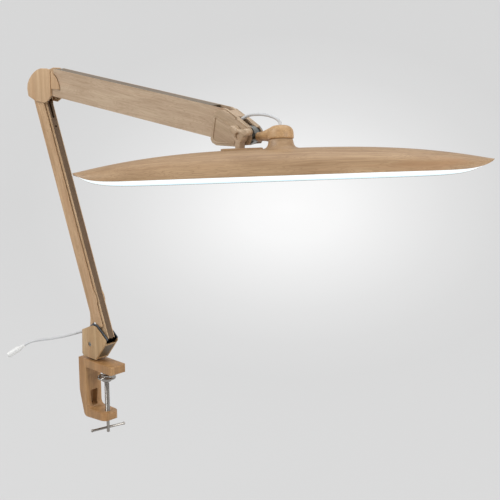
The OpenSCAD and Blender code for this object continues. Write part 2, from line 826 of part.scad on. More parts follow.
// A clip of two cheeks and a cross pin; its foot is at -drop along Z
module anchor(drop) {
    foot = run_gap - drop;
    both(anchor_in, anchor_in + channel_wall) difference() {
        translate([-anchor_w / 2, foot]) square([anchor_w, drop + anchor_rise]);
        circle(anchor_r);
    }
    for (side = [-1, 1]) scale([1, side, 1]) translate([-anchor_w / 2, anchor_in, foot])
        cube([anchor_w, anchor_foot_w, anchor_foot_t]);
    pin_y(anchor_r, -anchor_in - channel_wall, anchor_in + channel_wall);
}

module spring(path) {
    color(chrome) tube(path, wire_r, 6, [0, 1, 0]);
}

hook_r = pin_r + wire_r + free_gap;
loop_r = anchor_r + wire_r + head_gap;
coil_l = coil_curls * coil_pitch;
pin_gap = [link_p, link_u];
coil_top = lower_l - coil_drop;
coil_x = lower_back(coil_top) + channel_wall + coil_r + wire_r + coil_gap;
lower_anchor_u = coil_top - coil_l - shank;
lower_anchor = [lower_back(lower_anchor_u) + anchor_high, lower_anchor_u];
lower_spring_path = concat(
    loop_points([pin_gap[0], lower_l + pin_gap[1]], hook_r, -70, 205, -spring_side),
    [[pin_gap[0] - 0.36 * shank, -spring_side, lower_l + pin_gap[1] - 0.57 * shank],
     [coil_x + 0.43 * shank, -spring_side, coil_top + shank], [coil_x - 0.07 * shank, -spring_side / 2, coil_top + 0.29 * shank]],
    coil_points(coil_x, coil_top, tan(lower_skew)),
    [[lower_anchor[0] - 0.24 * shank, 0, lower_anchor[1] + shank / 2]],
    loop_points(lower_anchor, loop_r, 170, 420, 0));
echo(least_gap_between_curls = coil_pitch - 2 * wire_r);

module lower_spring() {
    in_lower() spring(lower_spring_path);
}

module lower_spring_anchor() {
    color(steel) in_lower() translate([lower_anchor[0], 0, lower_anchor[1]]) rotate([0, 90 - lower_skew, 0])
        anchor(anchor_high - channel_wall);
}

// Elbow
module disc_part() {
    intersection() {
        circle(hub_r);
        translate([hub_r / 3, disc_start]) square(2 * hub_r);
    }
}

module elbow_hub() {
    p = outline_elbow;
    w = hub_inset * hub_web_shares;
    color(wood) in_elbow() difference() {
        union() {
            both(hub_in, hub_out) {
                offset(delta = -hub_inset) polygon(p);
                translate([hub_inset + hub_lip, 0]) offset(delta = -hub_inset) polygon(p);
                translate([elbow_span, 0]) disc_part();
            }
            slab(-hub_in - lap, hub_in + lap)
                polygon([p[2] + w[0], p[3] + w[1], p[4] + w[2], p[4] + w[3], p[3] + w[4], p[2] + w[5]]);
        }
        pin_y(pin_r, -elbow_w, elbow_w);
        translate([elbow_span, 0, 0]) pin_y(pin_r, -elbow_w, elbow_w);
        translate([link_x, 0, link_z]) pin_y(pin_r, -elbow_w, elbow_w);
    }
}

module elbow_cover() {
    color(wood) in_elbow() slab(hub_out, elbow_out) polygon(outline_elbow);
}

module elbow_cover_near() {
    scale([1, -1, 1]) elbow_cover();
}

module elbow_cover_far() {
    elbow_cover();
}

module elbow_rivets() {
    color(steel) in_elbow() for (side = [-1, 1]) scale([1, side, 1]) {
        pin_y(pin_r, lower_in, hub_out);
        pin_y(pin_r + collar_lip, lower_out + seat_gap, hub_in);
        translate([elbow_span, 0, 0]) pin_y(pin_r, upper_in, hub_out);
        translate([elbow_span, 0, 0]) pin_y(pin_r + collar_lip, upper_out + seat_gap, hub_in);
    }
}

module elbow_pin() {
    color(steel) in_elbow() translate([link_x, 0, link_z]) {
        pin_y(pin_r, -hub_out, hub_out);
        for (side = [-1, 1]) scale([1, side, 1]) pin_y(pin_r + 2 * pin_lip, bar_out + seat_gap, hub_in);
    }
}

// Upper arm: the outer channel's web is below, the inner channel's on top
module upper_outer_channel() {
    left = hub_r / 3 + shell_start;
    color(wood) in_upper() difference() {
        union() {
            both(upper_in, upper_out) difference() {
                union() {
                    difference() {
                        translate([left, upper_low]) square([upper_l - left, upper_h]);
                        circle(shell_r);
                        translate([upper_l - end_round, upper_top - end_round]) difference() {
                            square(2 * end_r);
                            circle(end_round);
                        }
                    }
                    translate([0, upper_low]) square([upper_l, strip_h - upper_low - loose_gap]);
                    circle(-upper_low);
                    translate([upper_l, 0]) circle(-upper_low);
                }
                translate([upper_l, 0]) intersection() {
                    difference() {
                        circle(mate_r + ring_half);
                        circle(mate_r - ring_half);
                    }
                    translate([-2 * mate_r, ring_low]) square(4 * mate_r);
                }
            }
            slab(-upper_in - lap, upper_in + lap) translate([shell_r, upper_low])
                square([upper_l - shell_r - web_end, channel_wall]);
        }
        pin_y(pin_r + run_gap, -elbow_w, elbow_w);
        translate([upper_l, 0, 0]) pin_y(pin_r + run_gap, -elbow_w, elbow_w);
    }
}

module upper_inner_channel() {
    top = upper_top + inner_rise - (mate_x * sin(-upper_fall) + mate_z * cos(upper_fall));
    low = top - upper_inner_h;
    left = hub_r / 3 + inner_left;
    right = upper_l - inner_right;
    foot = lap - ear_r;
    head = ear_r - inner_rise;
    color(wood_dark) in_upper_link() difference() {
        union() {
            both(bar_out - channel_wall, bar_out) union() {
                translate([left, low]) square([right - left, upper_inner_h]);
                polygon([[0, foot], [left + tongue, low], [left + tongue / 2, low + tongue], [left, low + tongue],
                    [-tongue / 4, head]]);
                polygon([[right - tongue, low], [upper_l, foot], [upper_l + tongue / 4, head], [right, low + tongue]]);
                circle(-foot);
                translate([upper_l, 0]) circle(-foot);
            }
            slab(-bar_out + lap, bar_out - lap) translate([left, top - channel_wall]) square([right - left, channel_wall]);
        }
        pin_y(pin_r + run_gap, -elbow_w, elbow_w);
        translate([upper_l, 0, 0]) pin_y(pin_r + run_gap, -elbow_w, elbow_w);
    }
}

upper_pin = [mate_x * cos(upper_fall) - mate_z * sin(upper_fall), mate_x * sin(upper_fall) + mate_z * cos(upper_fall)];
coil_start = shell_r + coil_reach;
upper_anchor = [coil_start + coil_l + upper_reach, anchor_z];
upper_spring_path = concat(
    loop_points(upper_pin, hook_r, 340, 65, spring_side),
    [[upper_pin[0] + 0.64 * shank, spring_side, upper_pin[1] + 0.11 * shank],
     [coil_start - 0.71 * shank, spring_side, coil_z + coil_r + coil_gap], [coil_start - 0.21 * shank, spring_side / 3, coil_z + coil_r]],
    [for (q = coil_points(0, 0, 0)) [coil_start - q[2], q[1], coil_z - q[0]]],
    [[upper_anchor[0] - shank / 2, 0, upper_anchor[1] + 0.17 * shank]],
    loop_points(upper_anchor, loop_r, 110, -140, 0));

module upper_spring() {
    in_upper() spring(upper_spring_path);
}

module upper_spring_anchor() {
    color(steel) in_upper() translate([upper_anchor[0], 0, upper_anchor[1]])
        anchor(upper_anchor[1] - upper_low - channel_wall);
}

// Wrist
module wrist_plate(side) {
    bead = wrist_size * bead_shares;
    color(wood) in_wrist() scale([1, side, 1]) difference() {
        union() {
            slab(plate_in, plate_out) polygon(wrist_size * plate_shares);
            slab(plate_out, plate_out + bead_h) difference() {
                polygon(bead);
                offset(delta = -bead_w) polygon(bead);
            }
        }
        pin_y(pin_r, 0, plate_out - pin_skin);
        translate([mate_x, 0, mate_z]) pin_y(pin_r, 0, plate_out - pin_skin);
        translate([tilt_dx, 0, tilt_dz]) pin_y(bolt_r + run_gap, -elbow_w, elbow_w);
    }
}

module wrist_plate_near() {
    wrist_plate(-1);
}

module wrist_plate_far() {
    wrist_plate(1);
}

module wrist_hood() {
    roof = wrist_size * roof_shares;
    color(wood) in_wrist() difference() {
        union() {
            slab(-hood_out, hood_out) polygon(roof);
            slab(-plate_out, plate_out) polygon([roof[2], roof[3], roof[4], roof[5]]);
        }
        translate([hood_back - wrist_size, -hood_slot / 2, 0]) cube([wrist_size, hood_slot, wrist_size]);
        translate([hood_front, -hood_slot / 2, 0]) cube([wrist_size, hood_slot, wrist_size]);
    }
}

module wrist_rivets() {
    color(steel) in_wrist() for (side = [-1, 1]) scale([1, side, 1]) {
        pin_y(pin_r, upper_in, plate_out - pin_skin);
        pin_y(pin_r + collar_lip, upper_out + seat_gap, plate_in);
    }
}

module wrist_pin() {
    end = plate_out - pin_skin;
    color(steel) in_wrist() translate([mate_x, 0, mate_z]) {
        pin_y(pin_r, -end, end);
        for (side = [-1, 1]) scale([1, side, 1]) pin_y(pin_r + 1.5 * pin_lip, bar_out + seat_gap, plate_in);
    }
}

module tilt_bolt() {
    color(steel) at_tilt() pin_y(bolt_r, knob_skin - knob_out - knob_t, plate_out + nut_plate_t + nut_t);
}

module friction_knob() {
    root = knob_r - lobe_r;
    face = -knob_out - knob_t;
    color(wood) at_tilt() difference() {
        slab(face, -knob_out) difference() {
            union() {
                circle(lobe_r * 2);
                for (a = [26:120:266]) rotate(a) {
                    translate([root, 0]) circle(lobe_r);
                    translate([0, -lobe_r]) square([root, 2 * lobe_r]);
                }
            }
            for (a = [86:120:326]) rotate(a) translate([root * 1.02, 0]) circle(root * 0.42);
        }
        pin_y(bolt_r + run_gap, face + knob_skin - seat_gap, 0);
        pin_y(lobe_r, face - over, face + knob_recess);
    }
}

module tilt_nut() {
    color(steel) at_tilt() difference() {
        union() {
            pin_y(barrel_d / 2 - nut_plate_in, plate_out + seat_gap, plate_out + nut_plate_t);
            translate([0, plate_out + nut_plate_t + nut_t, 0]) rotate([90, 0, 0]) cylinder(r = nut_r, h = nut_t, $fn = 6);
        }
        pin_y(bolt_r + run_gap, 0, 2 * elbow_w);
    }
}

module friction_washers() {
    color(steel) at_tilt() for (side = [-1, 1], k = [0, 1]) scale([1, side, 1]) difference() {
        top = plate_in - k * washer_t - (k + 1) * face_gap;
        pin_y(barrel_d / 2 - washer_in - k * washer_step, top + face_gap - washer_t, top);
        pin_y(bolt_r + head_gap, 0, elbow_w);
    }
}

module tilt_barrel() {
    color(steel) difference() {
        union() {
            in_tilt() pin_y(barrel_d / 2, -eye_half, eye_half);
            in_tilt() pin_y(barrel_d / 2 - eye_rim, -barrel_half, barrel_half);
            in_neck() rotate([0, 90, 0]) cylinder(r = neck_d / 2 - stub_in, h = neck_start - seat_gap);
        }
        in_tilt() pin_y(bolt_r + run_gap, -elbow_w, elbow_w);
        in_neck() translate([neck_start - spigot_l, 0, 0]) rotate([0, 90, 0])
            cylinder(r = spigot_r + run_gap, h = 2 * spigot_l);
    }
}

// Neck and bulb: one moulding that turns on a spigot in the barrel and carries the head's swivel
module neck_and_bulb() {
    low = bulb_low - neck_h;
    color(wood) in_neck() difference() {
        union() {
            translate([neck_start - spigot_l + lap, 0, 0]) rotate([0, 90, 0]) cylinder(r = spigot_r, h = spigot_l);
            translate([neck_start, 0, 0]) rotate([0, 90, 0]) cylinder(r = neck_d / 2, h = neck_l - neck_start);
            translate([neck_start + flare_from, 0, 0]) rotate([0, 90, 0])
                cylinder(r1 = neck_d / 2, r2 = neck_d / 2 + flare_grow, h = flare_l);
            translate([neck_l, 0, 0]) rotate_extrude() polygon(concat([[0, low]],
                [for (q = bulb_shares) [bulb_d / 2 * q[0], low + bulb_h * q[1]]], [[0, low + bulb_h]]));
        }
        translate([neck_l, 0, low - over]) cylinder(r = spindle_r + run_gap, h = bore_deep + over);
        translate([neck_l, 0, low + cable_in]) cylinder(r = cable_d / 2 + loose_gap, h = bulb_h);
    }
}

module head_spindle() {
    low = crown_h - spindle_low;
    color(steel) in_head() difference() {
        translate([0, 0, low]) cylinder(r = spindle_r, h = bulb_low + spindle_up - low);
        translate([0, 0, low - over]) cylinder(r = spindle_r - spindle_wall, h = 3 * boss_rise);
    }
}

module spindle_nut() {
    color(steel) in_head() translate([0, 0, crown_h - shade_wall - spindle_nut_gap - spindle_nut_t]) difference() {
        cylinder(r = spindle_nut_r, h = spindle_nut_t, $fn = 6);
        translate([0, 0, -over]) cylinder(r = spindle_r + face_gap, h = 2 * spindle_nut_t);
    }
}

// Head: stations run from tip to tip, and each is an arch over the rim
function plan(s) = pow(1 - pow(abs(s), plan_n), 1 / plan_n);
function rim_z(s) = -rim_drop * (1 - pow(abs(s), rim_n));
function crown_z(s) = crown_h * (1 - pow(abs(s), crown_n));
function station(i) = 0.9985 * sin(180 * i / stations - 90);
function arch(s, inset) = let (w = max(thin, head_w / 2 * plan(s) - inset), low = rim_z(s), top = crown_z(s) - inset)
    [for (k = [0:arcs]) let (a = 180 * k / arcs)
        [s * (head_l / 2 - inset), w * cos(a), low + max(thin, top - low) * pow(sin(a), 0.8)]];
function skin_z(y) = -rim_drop + (crown_h + rim_drop) * pow(max(0, 1 - pow(2 * y / head_w, 2)), 0.4);

module loft(inset, drop) {
    rings = [for (i = [0:stations]) each [for (q = arch(station(i), inset)) q - [0, 0, q[2] > rim_z(station(i)) + face_gap ? 0 : drop]]];
    n = arcs + 1;
    walls = [for (i = [0:stations - 1], k = [0:n - 1]) let (a = i * n + k, b = i * n + (k + 1) % n)
        each [[a, a + n, b], [b, a + n, b + n]]];
    caps = concat([for (k = [1:n - 2]) [0, k, k + 1]], [for (k = [1:n - 2]) [stations * n, stations * n + k + 1, stations * n + k]]);
    polyhedron(points = rings, faces = concat(walls, caps), convexity = 6);
}

// The boss rises from the crown with a fillet that follows the crown's own curve
module boss() {
    n = boss_sides;
    last = len(boss_shares) - 1;
    side = [for (q = boss_shares, k = [0:n - 1])
        let (r = boss_d / 2 + boss_fillet * q[0], a = 360 * k / n, foot = skin_z(r * sin(a)) - seat_gap)
            [r * cos(a), r * sin(a), foot + (boss_top - foot) * q[1]]];
    under = [for (k = [0:n - 1]) let (a = 360 * k / n) [side[k][0], side[k][1], side[k][2] - shade_wall]];
    rings = concat(under, side);
    walls = [for (i = [0:last], k = [0:n - 1]) let (a = i * n + k, b = i * n + (k + 1) % n)
        each [[a, a + n, b], [b, a + n, b + n]]];
    middle = [[0, 0, crown_h - 2 * shade_wall], [0, 0, boss_top]];
    foot_cap = [for (k = [0:n - 1]) [k, (k + 1) % n, len(rings)]];
    top_cap = [for (k = [0:n - 1]) [len(rings) - n + k, len(rings) + 1, len(rings) - n + (k + 1) % n]];
    polyhedron(points = concat(rings, middle), faces = concat(walls, foot_cap, top_cap), convexity = 4);
}

module plate_form(grow, low, high) {
    x = plate_l / 2 + grow;
    y = plate_w / 2 + grow;
    r = plate_corner;
    translate([0, 0, low]) linear_extrude(high - low) {
        square([2 * x, 2 * (y - r)], center = true);
        square([2 * (x - r), 2 * y], center = true);
        for (i = [-1, 1], j = [-1, 1]) translate([i * (x - r), j * (y - r)]) circle(r);
    }
}

module at_screw(end) {
    in_shade() translate([end * (board_l / 2 - screw_in), 0, 0]) children();
}

module on_plate(x) {
    in_shade() translate([x, 0, crown_h]) children();
}

module shade() {
    post_top = crown_z((board_l / 2 - screw_in) / (head_l / 2)) - shade_wall / 2;
    color(wood) difference() {
        union() {
            difference() {
                union() {
                    in_shade() loft(0, 0);
                    in_head() boss();
                }
                in_shade() loft(shade_wall, over);
                in_head() translate([0, 0, crown_h - 2 * shade_wall]) cylinder(r = spindle_r + free_gap, h = 2 * boss_rise);
            }
            for (end = [-1, 1]) at_screw(end) translate([0, 0, tray_top]) cylinder(r = post_r, h = post_top - tray_top);
        }
        on_plate(plate_x) plate_form(0, -2 * shade_wall, 2 * shade_wall);
        for (end = [-1, 1]) at_screw(end) translate([0, 0, tray_top - over])
            cylinder(r = tray_screw_r, h = screw_past + over);
    }
}

module switch_plate() {
    color(wood) on_plate(plate_x) difference() {
        plate_form(0, -plate_sink, plate_rise);
        for (x = [-button_x, button_x]) translate([x, 0, -2 * plate_sink])
            cylinder(r = button_d / 2 + button_gap, h = 4 * plate_sink);
    }
}

module button(x) {
    low = -plate_sink - button_low;
    color(wood_dark) on_plate(plate_x + x) {
        translate([0, 0, low]) cylinder(r = button_d / 2, h = plate_rise + button_proud - low);
        translate([0, 0, low - button_rim_t + head_gap]) cylinder(r = button_d / 2 + button_rim, h = button_rim_t);
    }
}

module power_button() {
    button(-button_x);
}

module dimmer_button() {
    button(button_x);
}

module switch_board() {
    l = plate_l - 2 * switch_board_in;
    color("#2f6b46") on_plate(plate_x) {
        translate([-l / 2, -switch_board_w / 2, -board_drop - board_t]) cube([l, switch_board_w, board_t]);
        for (end = [-1, 1]) translate([end * (plate_l / 2 - stud_in), 0, -board_drop])
            cylinder(r = stud_r, h = board_drop - plate_sink);
    }
}

module tact_switches() {
    color("#2a2c30") for (x = [-button_x, button_x]) on_plate(plate_x + x) {
        translate([-key_w / 2, -key_w / 2, -board_drop]) cube([key_w, key_w, key_t]);
        translate([0, 0, key_t - board_drop]) cylinder(r = key_cap_r, h = key_cap_t);
    }
}

module diffuser() {
    n = stations;
    rings = [for (i = [0:n]) let (s = station(i), z = rim_z(s) + free_gap, x = s * head_l / 2, w = head_w)
        each [[x, w, z], [x, -w, z], [x, -w, z + diffuser_t], [x, w, z + diffuser_t]]];
    walls = [for (i = [0:n - 1], k = [0:3]) let (a = i * 4 + k, b = i * 4 + (k + 1) % 4)
        each [[a, b, a + 4], [b, b + 4, a + 4]]];
    ends = [[0, 2, 1], [0, 3, 2], [n * 4, n * 4 + 1, n * 4 + 2], [n * 4, n * 4 + 2, n * 4 + 3]];
    color(white) in_shade() intersection() {
        polyhedron(points = rings, faces = concat(walls, ends));
        loft(shade_wall + free_gap, over);
        cube([head_l - 6 * shade_wall, head_w, head_w], center = true);
    }
}

module reflector_tray() {
    l = board_l + 2 * tray_lip;
    w = board_w + 2 * tray_lip;
    color("#e4e6e6") in_shade() difference() {
        union() {
            translate([-l / 2, -w / 2, tray_z]) cube([l, w, tray_h]);
            for (x = [-1, 1], y = [-1, 1])
                translate([driver_x + x * (driver_l / 2 - 2 * stud_r), y * (driver_w / 2 - 2 * stud_r), tray_top])
                    cylinder(r = stud_r, h = driver_gap);
        }
        translate([tray_wall - l / 2, tray_wall - w / 2, tray_z - over])
            cube([l - 2 * tray_wall, w - 2 * tray_wall, tray_h - tray_wall + over]);
        for (end = [-1, 1]) translate([end * (board_l / 2 - screw_in), 0, tray_z])
            cylinder(r = tray_screw_r, h = tray_h + over);
    }
}

module diode_board() {
    color("#dfe6e2") in_shade() translate([-board_l / 2, -board_w / 2, tray_z + diode_z]) difference() {
        cube([board_l, board_w, board_t - face_gap]);
        for (x = [screw_in, board_l - screw_in]) translate([x, board_w / 2, -over])
            cylinder(r = tray_screw_r + seat_gap, h = board_t + 2 * over);
    }
}

module diode_chips() {
    step = (board_l - 2 * chip_in) / (diodes - 1);
    color("#f4ecc0") in_shade() for (i = [0:diodes - 1], y = [-board_w / 4, board_w / 4])
        translate([chip_in - board_l / 2 + i * step - chip_w / 2, y - chip_w / 2, tray_z + diode_z - chip_t])
            cube([chip_w, chip_w, chip_t]);
}

module driver_board() {
    color("#2f6b46") in_shade() translate([driver_x - driver_l / 2, -driver_w / 2, tray_top + driver_gap])
        cube([driver_l, driver_w, board_t]);
}

module driver_parts() {
    coil = driver_w / 2;
    color("#2a2c30") in_shade() translate([driver_x, 0, tray_top + driver_gap + board_t]) {
        translate([-1.4 * coil, -coil / 1.5, 0]) cube([coil, coil / 1.2, coil / 2.4]);
        translate([coil / 6, -coil / 4, 0]) cylinder(r = coil / 3, h = coil / 2);
        translate([coil, -coil / 2, 0]) cube([coil / 1.5, coil, coil / 3]);
    }
}

module tray_screws() {
    low = tray_z + diode_z - tray_screw_head_t;
    color(steel) for (end = [-1, 1]) at_screw(end) translate([0, 0, low]) {
        cylinder(r = tray_screw_head, h = tray_screw_head_t);
        cylinder(r = tray_screw_r, h = screw_top - over - low);
    }
}

// Cables and lead
module head_cable() {
    color(white) in_wrist() tube(cable_route, cable_d / 2, cord_sides, [0, 1, 0]);
}

module lower_arm_cable() {
    r = cable_d / 2;
    u = lower_cable_from;
    color(white) in_lower() translate([lower_back(u) + channel_wall + run_gap + r, 0, u]) rotate([0, -lower_skew, 0])
        cylinder(r = r, h = lower_l - lower_cable_short - u);
}

module upper_arm_cable() {
    r = cable_d / 2;
    color(white) in_upper() translate([upper_cable_from, 0, upper_low + channel_wall + run_gap + r]) rotate([0, 90, 0])
        cylinder(r = r, h = upper_l - upper_cable_short - upper_cable_from);
}

module lead_grommet() {
    r = lead_d / 2;
    outer = r + grommet_wall;
    back = outline_bracket[2][0];
    color("#2b2d30") in_bracket() translate([back, 0, lead_dz]) rotate([0, 90, 0]) difference() {
        union() {
            translate([0, 0, -grommet_in]) cylinder(r1 = outer - loose_gap, r2 = outer, h = grommet_in);
            cylinder(r = outer, h = cover_wall + grommet_wall);
        }
        translate([0, 0, -grommet_in - over]) cylinder(r = r + seat_gap, h = 3 * grommet_in);
    }
}

module supply_lead() {
    color(white) tube(lead_route, lead_d / 2, cord_sides, [0, 0, 1]);
}

module at_lead_end() {
    last = lead_route[len(lead_route) - 1];
    way = unit(last - lead_route[len(lead_route) - 2]);
    translate(last) rotate([0, acos(way[2]), atan2(way[1], way[0])]) children();
}

module socket_pin() {
    color(steel) at_lead_end() translate([0, 0, connector_l - socket_deep])
        cylinder(r = socket_pin_r, h = socket_deep - socket_pin_short);
}

module lead_connector() {
    r = connector_d / 2;
    shoulder = connector_neck + connector_step;
    color(white) at_lead_end() difference() {
        union() {
            cylinder(r1 = lead_d / 2 + pin_lip, r2 = r * 0.7, h = connector_neck);
            translate([0, 0, connector_neck]) cylinder(r1 = r * 0.8, r2 = r, h = connector_step);
            translate([0, 0, shoulder]) cylinder(r = r, h = connector_l - shoulder);
        }
        translate([0, 0, connector_l - socket_deep]) cylinder(r = socket_r, h = socket_deep + over);
    }
}

clamp_frame();
swivel_bush();
clamp_screw();
pressure_disc();
tommy_bar();
bracket_cover();
bracket_liner();
swivel_post();
swivel_collar();
post_clip();
shoulder_screws();
shoulder_pin();
lower_outer_channel();
lower_inner_channel();
lower_spring();
lower_spring_anchor();
elbow_hub();
elbow_cover_near();
elbow_cover_far();
elbow_rivets();
elbow_pin();
upper_outer_channel();
upper_inner_channel();
upper_spring();
upper_spring_anchor();
wrist_plate_near();
wrist_plate_far();
wrist_hood();
wrist_rivets();
wrist_pin();
tilt_bolt();
friction_knob();
tilt_nut();
friction_washers();
tilt_barrel();
neck_and_bulb();
head_spindle();
spindle_nut();
shade();
switch_plate();
power_button();
dimmer_button();
switch_board();
tact_switches();
diffuser();
reflector_tray();
diode_board();
diode_chips();
driver_board();
driver_parts();
tray_screws();
head_cable();
lower_arm_cable();
upper_arm_cable();
lead_grommet();
supply_lead();
lead_connector();
socket_pin();
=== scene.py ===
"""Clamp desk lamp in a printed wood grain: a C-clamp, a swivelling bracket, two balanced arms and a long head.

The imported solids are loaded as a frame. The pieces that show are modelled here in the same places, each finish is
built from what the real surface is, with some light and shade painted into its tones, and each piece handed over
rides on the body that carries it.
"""

import logging
import math
from contextlib import contextmanager
from dataclasses import dataclass
from enum import Enum
from typing import Any, Iterator, Sequence

import bpy
from mathutils import Matrix, Vector


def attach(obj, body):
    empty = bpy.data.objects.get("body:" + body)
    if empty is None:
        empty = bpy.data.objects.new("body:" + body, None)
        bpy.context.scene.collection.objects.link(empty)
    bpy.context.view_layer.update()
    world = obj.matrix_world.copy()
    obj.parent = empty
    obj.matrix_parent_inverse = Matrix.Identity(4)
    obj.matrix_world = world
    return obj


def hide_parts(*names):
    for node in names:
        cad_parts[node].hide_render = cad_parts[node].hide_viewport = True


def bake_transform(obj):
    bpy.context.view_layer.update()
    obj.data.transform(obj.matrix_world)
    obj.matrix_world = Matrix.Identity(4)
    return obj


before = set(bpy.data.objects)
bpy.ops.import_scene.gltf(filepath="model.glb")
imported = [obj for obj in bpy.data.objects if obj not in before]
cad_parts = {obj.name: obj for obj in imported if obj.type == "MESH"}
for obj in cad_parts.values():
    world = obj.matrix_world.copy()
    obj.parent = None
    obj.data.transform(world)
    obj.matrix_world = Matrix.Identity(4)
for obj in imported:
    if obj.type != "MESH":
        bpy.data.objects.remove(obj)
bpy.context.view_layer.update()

LOG = logging.getLogger("desk_lamp")
MM = 0.001
# Points nearer to each other than this, in millimetres, are one
SAME_POINT = 0.002

Pair = tuple[float, float]
Triple = tuple[float, float, float]
Inputs = dict[str | int, Any]
Piece = bpy.types.Object
Socket = bpy.types.NodeSocket
Material = bpy.types.Material


class Plane(Enum):
    """The plane that an outline is drawn in; the other axis is the one it is extruded along."""

    XZ = "xz"
    XY = "xy"


# Measures shared with the solids, in millimetres


@dataclass(frozen=True)
class Layout:
    """Where the joints are, and the sizes that more than one sub-assembly uses."""

    bracket: Triple = (-26.0, 0.0, 16.8)
    shoulder: Triple = (-24.4, 0.0, 40.0)
    lean: float = 17.3
    skew: float = 3.4
    lower_length: float = 415.8
    upper_length: float = 392.6
    fall: float = 5.2
    link: Pair = (30.4, 18.0)
    arm_gap: float = 38.0
    tilt_step: Pair = (36.0, 3.5)
    rise: float = 11.8
    drop: float = 4.5
    roll: float = 9.2
    neck_length: float = 53.5
    neck_height: float = 42.8
    turn: float = 45.6
    head_offset: float = 2.5

    def moved(self, x: float, y: float, z: float) -> Matrix:
        """A place moved by millimetres along the row frame's axes."""
        return Matrix.Translation(Vector((x, y, z)) * MM)

    def turned(self, degrees: float, axis: str) -> Matrix:
        """A turn about one axis, in degrees."""
        return Matrix.Rotation(math.radians(degrees), 4, axis)

    @property
    def in_bracket(self) -> Matrix:
        """The bracket's place, on the swivel axis at its floor."""
        return self.moved(*self.bracket)

    @property
    def in_lower(self) -> Matrix:
        """The lower arm's place, at its shoulder pivot with Z along the arm."""
        return self.moved(*self.shoulder) @ self.turned(-self.lean, "Y")

    @property
    def elbow(self) -> Triple:
        """The lower arm's upper pivot."""
        lean = math.radians(self.lean)
        x, y, z = self.shoulder
        return (x - self.lower_length * math.sin(lean), y, z + self.lower_length * math.cos(lean))

    @property
    def in_elbow(self) -> Matrix:
        """The elbow's place, at the lower arm's upper pivot."""
        return self.moved(*self.elbow)

    @property
    def in_upper(self) -> Matrix:
        """The upper arm's place, at its first pivot with X along the arm."""
        x, y, z = self.elbow
        return self.moved(x + self.arm_gap, y, z) @ self.turned(self.fall, "Y")

    @property
    def wrist(self) -> Triple:
        """The upper arm's outer pivot."""
        fall = math.radians(self.fall)
        x, y, z = self.elbow
        return (x + self.arm_gap + self.upper_length * math.cos(fall), y, z - self.upper_length * math.sin(fall))

    @property
    def in_wrist(self) -> Matrix:
        """The wrist's place, at the upper arm's outer pivot."""
        return self.moved(*self.wrist)

    @property
    def in_tilt(self) -> Matrix:
        """The tilt axis, with X along the neck."""
        x, y, z = self.wrist
        return self.moved(x + self.tilt_step[0], y, z + self.tilt_step[1]) @ self.turned(-self.rise, "Y")

    @property
    def in_neck(self) -> Matrix:
        """The neck's own axis, rolled a little about itself."""
        return self.in_tilt @ self.moved(0, 0, -self.drop) @ self.turned(-self.roll, "X")

    @property
    def in_head(self) -> Matrix:
        """The head's place: Z is its swivel axis and X runs from tip to tip."""
        return self.in_neck @ self.moved(self.neck_length, 0, -self.neck_height) @ self.turned(self.turn, "Z")

    @property
    def in_shade(self) -> Matrix:
        """The shade's middle, a little past the swivel axis."""
        return self.in_head @ self.moved(self.head_offset, 0, 0)


PLACES = Layout()


# Modelling moves


def pick_only(piece: Piece | None = None) -> None:
    """Deselects everything, then selects one piece and makes it active.

    Args:
        piece: The piece to select, or None to leave nothing selected.
    """
    bpy.ops.object.select_all(action="DESELECT")
    if piece is not None:
        piece.select_set(True)
        bpy.context.view_layer.objects.active = piece


@contextmanager
def editing(piece: Piece, select_all: bool = True) -> Iterator[None]:
    """Opens a piece in edit mode, and goes back to object mode at the end.

    Args:
        piece: The mesh object.
        select_all: True to select the whole mesh first.

    Yields:
        Nothing.
    """
    pick_only(piece)
    bpy.ops.object.mode_set(mode="EDIT")
    if select_all:
        bpy.ops.mesh.select_all(action="SELECT")
    yield
    bpy.ops.object.mode_set(mode="OBJECT")


def face_outwards(piece: Piece) -> None:
    """Merges a piece's doubled points and turns its faces outwards.

    Args:
        piece: The mesh object, still in millimetres.
    """
    with editing(piece):
        bpy.ops.mesh.remove_doubles(threshold=SAME_POINT)
        bpy.ops.mesh.normals_make_consistent(inside=False)


def open_ring(piece: Piece, ends: set[int]) -> None:
    """Takes the edge between a ring's two ends away.

    Args:
        piece: The ring.
        ends: The numbers of the edge's two corners.
    """
    for edge in piece.data.edges:
        edge.select = set(edge.vertices) == ends
    for vertex in piece.data.vertices:
        vertex.select = False
    with editing(piece, select_all=False):
        bpy.ops.mesh.select_mode(type="EDGE")
        bpy.ops.mesh.delete(type="EDGE")
        bpy.ops.mesh.select_mode(type="VERT")


def draw_ring(name: str, points: Sequence[Triple], fill: str) -> Piece:
    """A circle with as many corners as the drawing has, drawn out to its points.

    Args:
        name: The new piece's name.
        points: The corners, in millimetres.
        fill: NGON for a face, or NOTHING for a wire.

    Returns:
        The new object, at the origin.
    """
    pick_only()
    bpy.ops.mesh.primitive_circle_add(vertices=len(points), radius=1.0, fill_type=fill, location=(0, 0, 0))
    piece = bpy.context.object
    piece.name = piece.data.name = name
    for corner, point in zip(piece.data.vertices, points):
        corner.co = point
    return piece


def arc(x: float, y: float, radius: float, start: float, stop: float, count: int) -> list[Pair]:
    """An arc's points.

    Args:
        x: Its centre's first place.
        y: Its centre's second place.
        radius: Its radius.
        start: Where it starts, in degrees.
        stop: Where it ends.
        count: How many straight steps it has.

    Returns:
        The points, one more than the steps.
    """
    turns = [math.radians(start + (stop - start) * i / count) for i in range(count + 1)]
    return [(x + radius * math.cos(t), y + radius * math.sin(t)) for t in turns]


